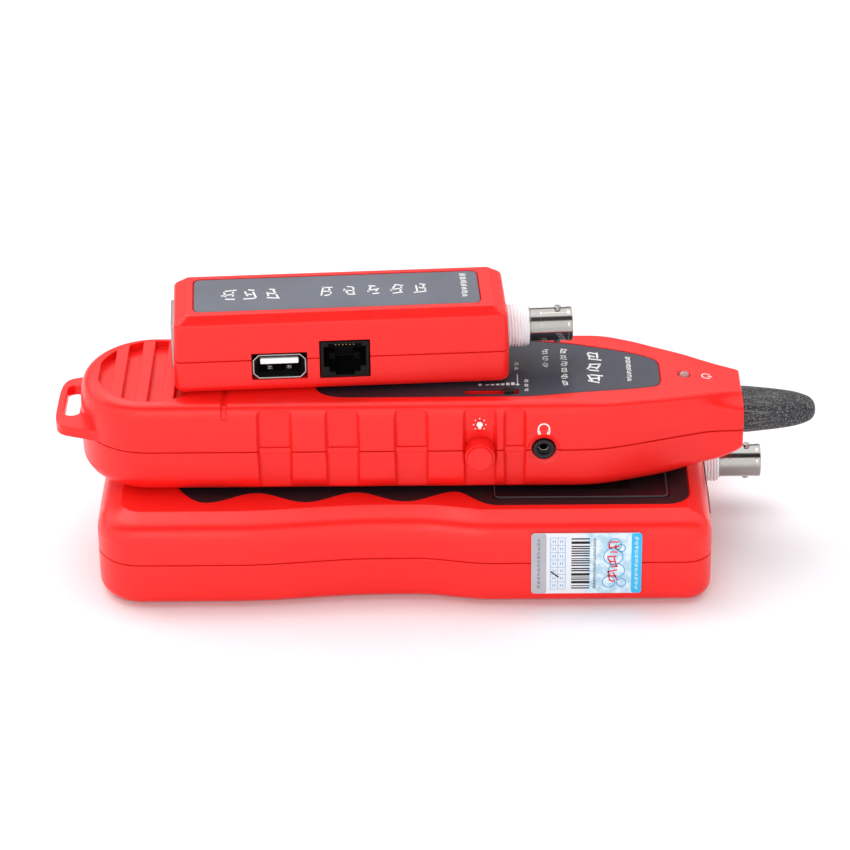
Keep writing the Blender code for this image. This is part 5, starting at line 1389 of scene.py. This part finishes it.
def adapter_shells():
    """Both covers and the seam's inner lip."""
    top, wall, draft = ADAPTER_TOP, ADAPTER_WALL, ADAPTER_DRAFT
    rim = ADAPTER_PARTING + GAP / 2
    profile = [(4.3, 3.2, top, 0.9), (4.02, 2.96, top, 1.0), (3.82, 2.8, top - 0.05, 1.1),
               (3.6, 2.62, top - 0.2, 1.2), (draft + 0.75, draft + 0.5, top - 2.0, 2.0),
               (draft + 0.35, draft + 0.25, top - 2.3), (draft + 0.1, draft + 0.1, top - 2.75),
               (draft, draft, top - 3.5), (0.0, 0.0, rim + 0.2), (0.13, 0.13, rim),
               (wall, wall, rim, 1.5), (wall + draft, wall + draft, top - 4.0, 1.5),
               (wall + 3.0, wall + 2.4, top - 2.2, 1.5)]
    upper = bare("adapter_top_shell", skin([adapter_ring(*place) for place in profile]), ADAPTER)
    carve(upper, sunk(adapter_label_outline(GAP, 2.2), top - 0.8, top, 0.2))
    rim = ADAPTER_PARTING - GAP / 2
    profile = [(reach, reach, level) for reach, level in rounding(ADAPTER_FOOT, 8)]
    profile += [(0.0, 0.0, rim - 0.2), (0.13, 0.13, rim), (wall, wall, rim, 1.5), (wall, wall, 3.0, 1.5),
                (wall + 1.2, wall + 1.2, wall, 1.5)]
    lower = bare("adapter_bottom_shell", skin([adapter_ring(*place) for place in profile]), ADAPTER)
    outline = rectangle(ADAPTER_LENGTH, ADAPTER_WIDTH, ADAPTER_CORNER, count=10)
    band = rim_tube(inset(outline, 0.6), inset(outline, 1.3), ADAPTER_PARTING - LIP, ADAPTER_PARTING + LIP)
    lip = bare("adapter_seam_lip", band, ADAPTER)
    for cover, nodes in ((upper, ["adapter_top_cover"]), (lower, ["adapter_bottom_cover"]), (lip, [])):
        cut_ports(cover, ADAPTER, "adapter", 6.0, ADAPTER_LENGTH, ADAPTER_JACKS)
        if cover is lower:
            carve(cover, screw_well("adapter_case_screw_1", ADAPTER, 0.3, 2.8))
        finished(cover, "red", "remote_adapter", *nodes)


def adapter_face():
    """The adapter's label with its stand-in marks."""
    low, high = extent("adapter_face_label", ADAPTER)
    outline = adapter_label_outline(0.0, 2.0)
    sheet = skin([lift(outline, low.z), lift(outline, high.z)])
    piece("adapter_label_sheet", sheet, ADAPTER, "adapter_label", "remote_adapter", "adapter_face_label")
    marks = caption((-25.0, 0.2), 3, 5.0, 6.1, "x", 1.45) + caption((9.9, 0.4), 5, 4.6, 6.7, "x", 1.4)
    marks += caption((35.6, 1.4), 7, 2.5, 2.1, "y", 0.62)
    ink = printed(marks, lambda u, v, height: (u, v, high.z + height))
    piece("adapter_label_marks", ink, ADAPTER, "mark", "remote_adapter")


tester_shells()
tester_keys()
tester_face()
tester_sticker()
bnc("tester", TESTER, "main_tester", 11.5)
modular_jack("tester_rj45_jack", TESTER, "main_tester", (1, 0, 0), RJ45_MOUTH, 8, "steel")
modular_jack("tester_rj11_jack", TESTER, "main_tester", (1, 0, 0), RJ11_MOUTH, 6, "jack")
usb("tester", TESTER, "main_tester", (0, 1, 0))
case_screws("tester", 4, TESTER, "main_tester")

probe_shells()
probe_face()
probe_controls()
case_screws("probe", 2, PROBE, "tone_probe")

adapter_shells()
adapter_face()
bnc("adapter", ADAPTER, "remote_adapter", 11.1)
modular_jack("adapter_rj45_jack", ADAPTER, "remote_adapter", (-1, 0, 0), RJ45_MOUTH, 8, "steel")
modular_jack("adapter_rj11_jack", ADAPTER, "remote_adapter", (0, -1, 0), RJ11_MOUTH, 6, "jack")
usb("adapter", ADAPTER, "remote_adapter", (0, -1, 0))
case_screws("adapter", 1, ADAPTER, "remote_adapter")

INSIDE = {"board": ("tester_main_board", "tester_connector_board", "probe_board", "adapter_board"),
          "cell": ("tester_battery_1", "tester_battery_2", "tester_battery_3", "tester_battery_4",
                   "probe_battery"),
          "black": ("probe_battery_clip", "probe_sounder", "tester_display_module"),
          "steel": ("sensitivity_pot", "probe_antenna_core")}
for name, nodes in INSIDE.items():
    for node in nodes:
        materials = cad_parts[node].data.materials
        materials.clear()
        materials.append(looks[name].material)


# ---------------------------------------------------------------- stage, light and camera

# studio tone by angle, in degrees from the front horizon over the zenith to the back horizon
STUDIO_BANDS = ((0, 0.80), (42, 0.80), (52, 0.06), (74, 0.06), (86, 0.92), (146, 0.86), (158, 0.20),
                (180, 0.16))
STUDIO_STRENGTH = 1.88
STUDIO_FALL = -0.18  # left to right
LAMPS = (("overhead", (-0.35, 0.40, 1.0), 0.7, 3.2), ("front", (-0.35, -1.15, 0.5), 0.5, 1.2))
CENTRE = (cad_low + cad_high) / 2
AZIMUTH, ELEVATION, ROLL = math.radians(0.634), math.radians(29.735), math.radians(-0.749)
CAMERA_DISTANCE = 0.99485
CAMERA_LENS = 145.4


def make_stage():
    """A plain pale floor."""
    bm = bmesh.new()
    bmesh.ops.create_grid(bm, x_segments=8, y_segments=8, size=3.0)
    mesh = bpy.data.meshes.new("floor")
    bm.to_mesh(mesh)
    bm.free()
    floor = bpy.data.objects.new("floor", mesh)
    floor.location.z = cad_low.z - 0.0002
    bpy.context.scene.collection.objects.link(floor)
    paper = surface("floor_paper", (0.895, 0.90, 0.925), 0.6, grain=2.0, bump=0.01, mottle=0.01)
    mesh.materials.append(paper.material)


def light_studio():
    """Soft light in bands: bright above, a dark gap before it, and a faint left to right fall."""
    world = bpy.data.worlds.new("studio")
    bpy.context.scene.world = world
    world.use_nodes = True
    nodes, links = world.node_tree.nodes, world.node_tree.links
    way = nodes.new("ShaderNodeSeparateXYZ")
    links.new(nodes.new("ShaderNodeTexCoord").outputs["Generated"], way.inputs[0])

    def step(operation, first, second):
        made = nodes.new("ShaderNodeMath")
        made.operation = operation
        for socket, value in zip(made.inputs, (first, second)):
            if isinstance(value, bpy.types.NodeSocket):
                links.new(value, socket)
            else:
                socket.default_value = value
        return made.outputs[0]

    angle = step("ARCTAN2", way.outputs["Z"], step("MULTIPLY", way.outputs["Y"], -1.0))
    ramp = nodes.new("ShaderNodeValToRGB")
    ramp.color_ramp.interpolation = "EASE"
    stops = ramp.color_ramp.elements
    while len(stops) < len(STUDIO_BANDS):
        stops.new(0.5)
    for stop, (degrees, tone) in zip(stops, STUDIO_BANDS):
        stop.position = degrees / 180.0
        stop.color = (tone, tone, tone, 1.0)
    links.new(step("MAXIMUM", step("DIVIDE", angle, math.pi), 0.0), ramp.inputs[0])
    fall = step("ADD", step("MULTIPLY", way.outputs["X"], STUDIO_FALL), 1.0)
    background = nodes["Background"]
    links.new(ramp.outputs[0], background.inputs["Color"])
    links.new(step("MULTIPLY", fall, STUDIO_STRENGTH), background.inputs["Strength"])

    for name, place, size, power in LAMPS:
        data = bpy.data.lights.new(name, "AREA")
        data.shape = "SQUARE"
        data.size = size
        data.energy = power
        lamp = bpy.data.objects.new(name, data)
        lamp.location = CENTRE + Vector(place)
        lamp.rotation_euler = (CENTRE - lamp.location).to_track_quat("-Z", "Y").to_euler()
        bpy.context.scene.collection.objects.link(lamp)


def make_camera():
    """The camera, a little above the front of the stack."""
    target = Vector((CENTRE.x - 0.00315, 0.0, CENTRE.z - 0.0035))
    level = math.cos(ELEVATION)
    back = Vector((math.sin(AZIMUTH) * level, -math.cos(AZIMUTH) * level, math.sin(ELEVATION)))
    right = Vector((0.0, 0.0, 1.0)).cross(back).normalized()
    up = back.cross(right)
    across = right * math.cos(ROLL) + up * math.sin(ROLL)
    upright = up * math.cos(ROLL) - right * math.sin(ROLL)
    data = bpy.data.cameras.new("camera")
    data.lens = CAMERA_LENS
    data.sensor_width = 36.0
    data.clip_end = 20.0
    camera = bpy.data.objects.new("camera", data)
    aim = Matrix((across, upright, back)).transposed().to_4x4()
    camera.matrix_world = Matrix.Translation(target + back * CAMERA_DISTANCE) @ aim
    bpy.context.scene.collection.objects.link(camera)
    bpy.context.scene.camera = camera
    bpy.context.scene.view_settings.view_transform = "Standard"


make_stage()
light_studio()
make_camera()
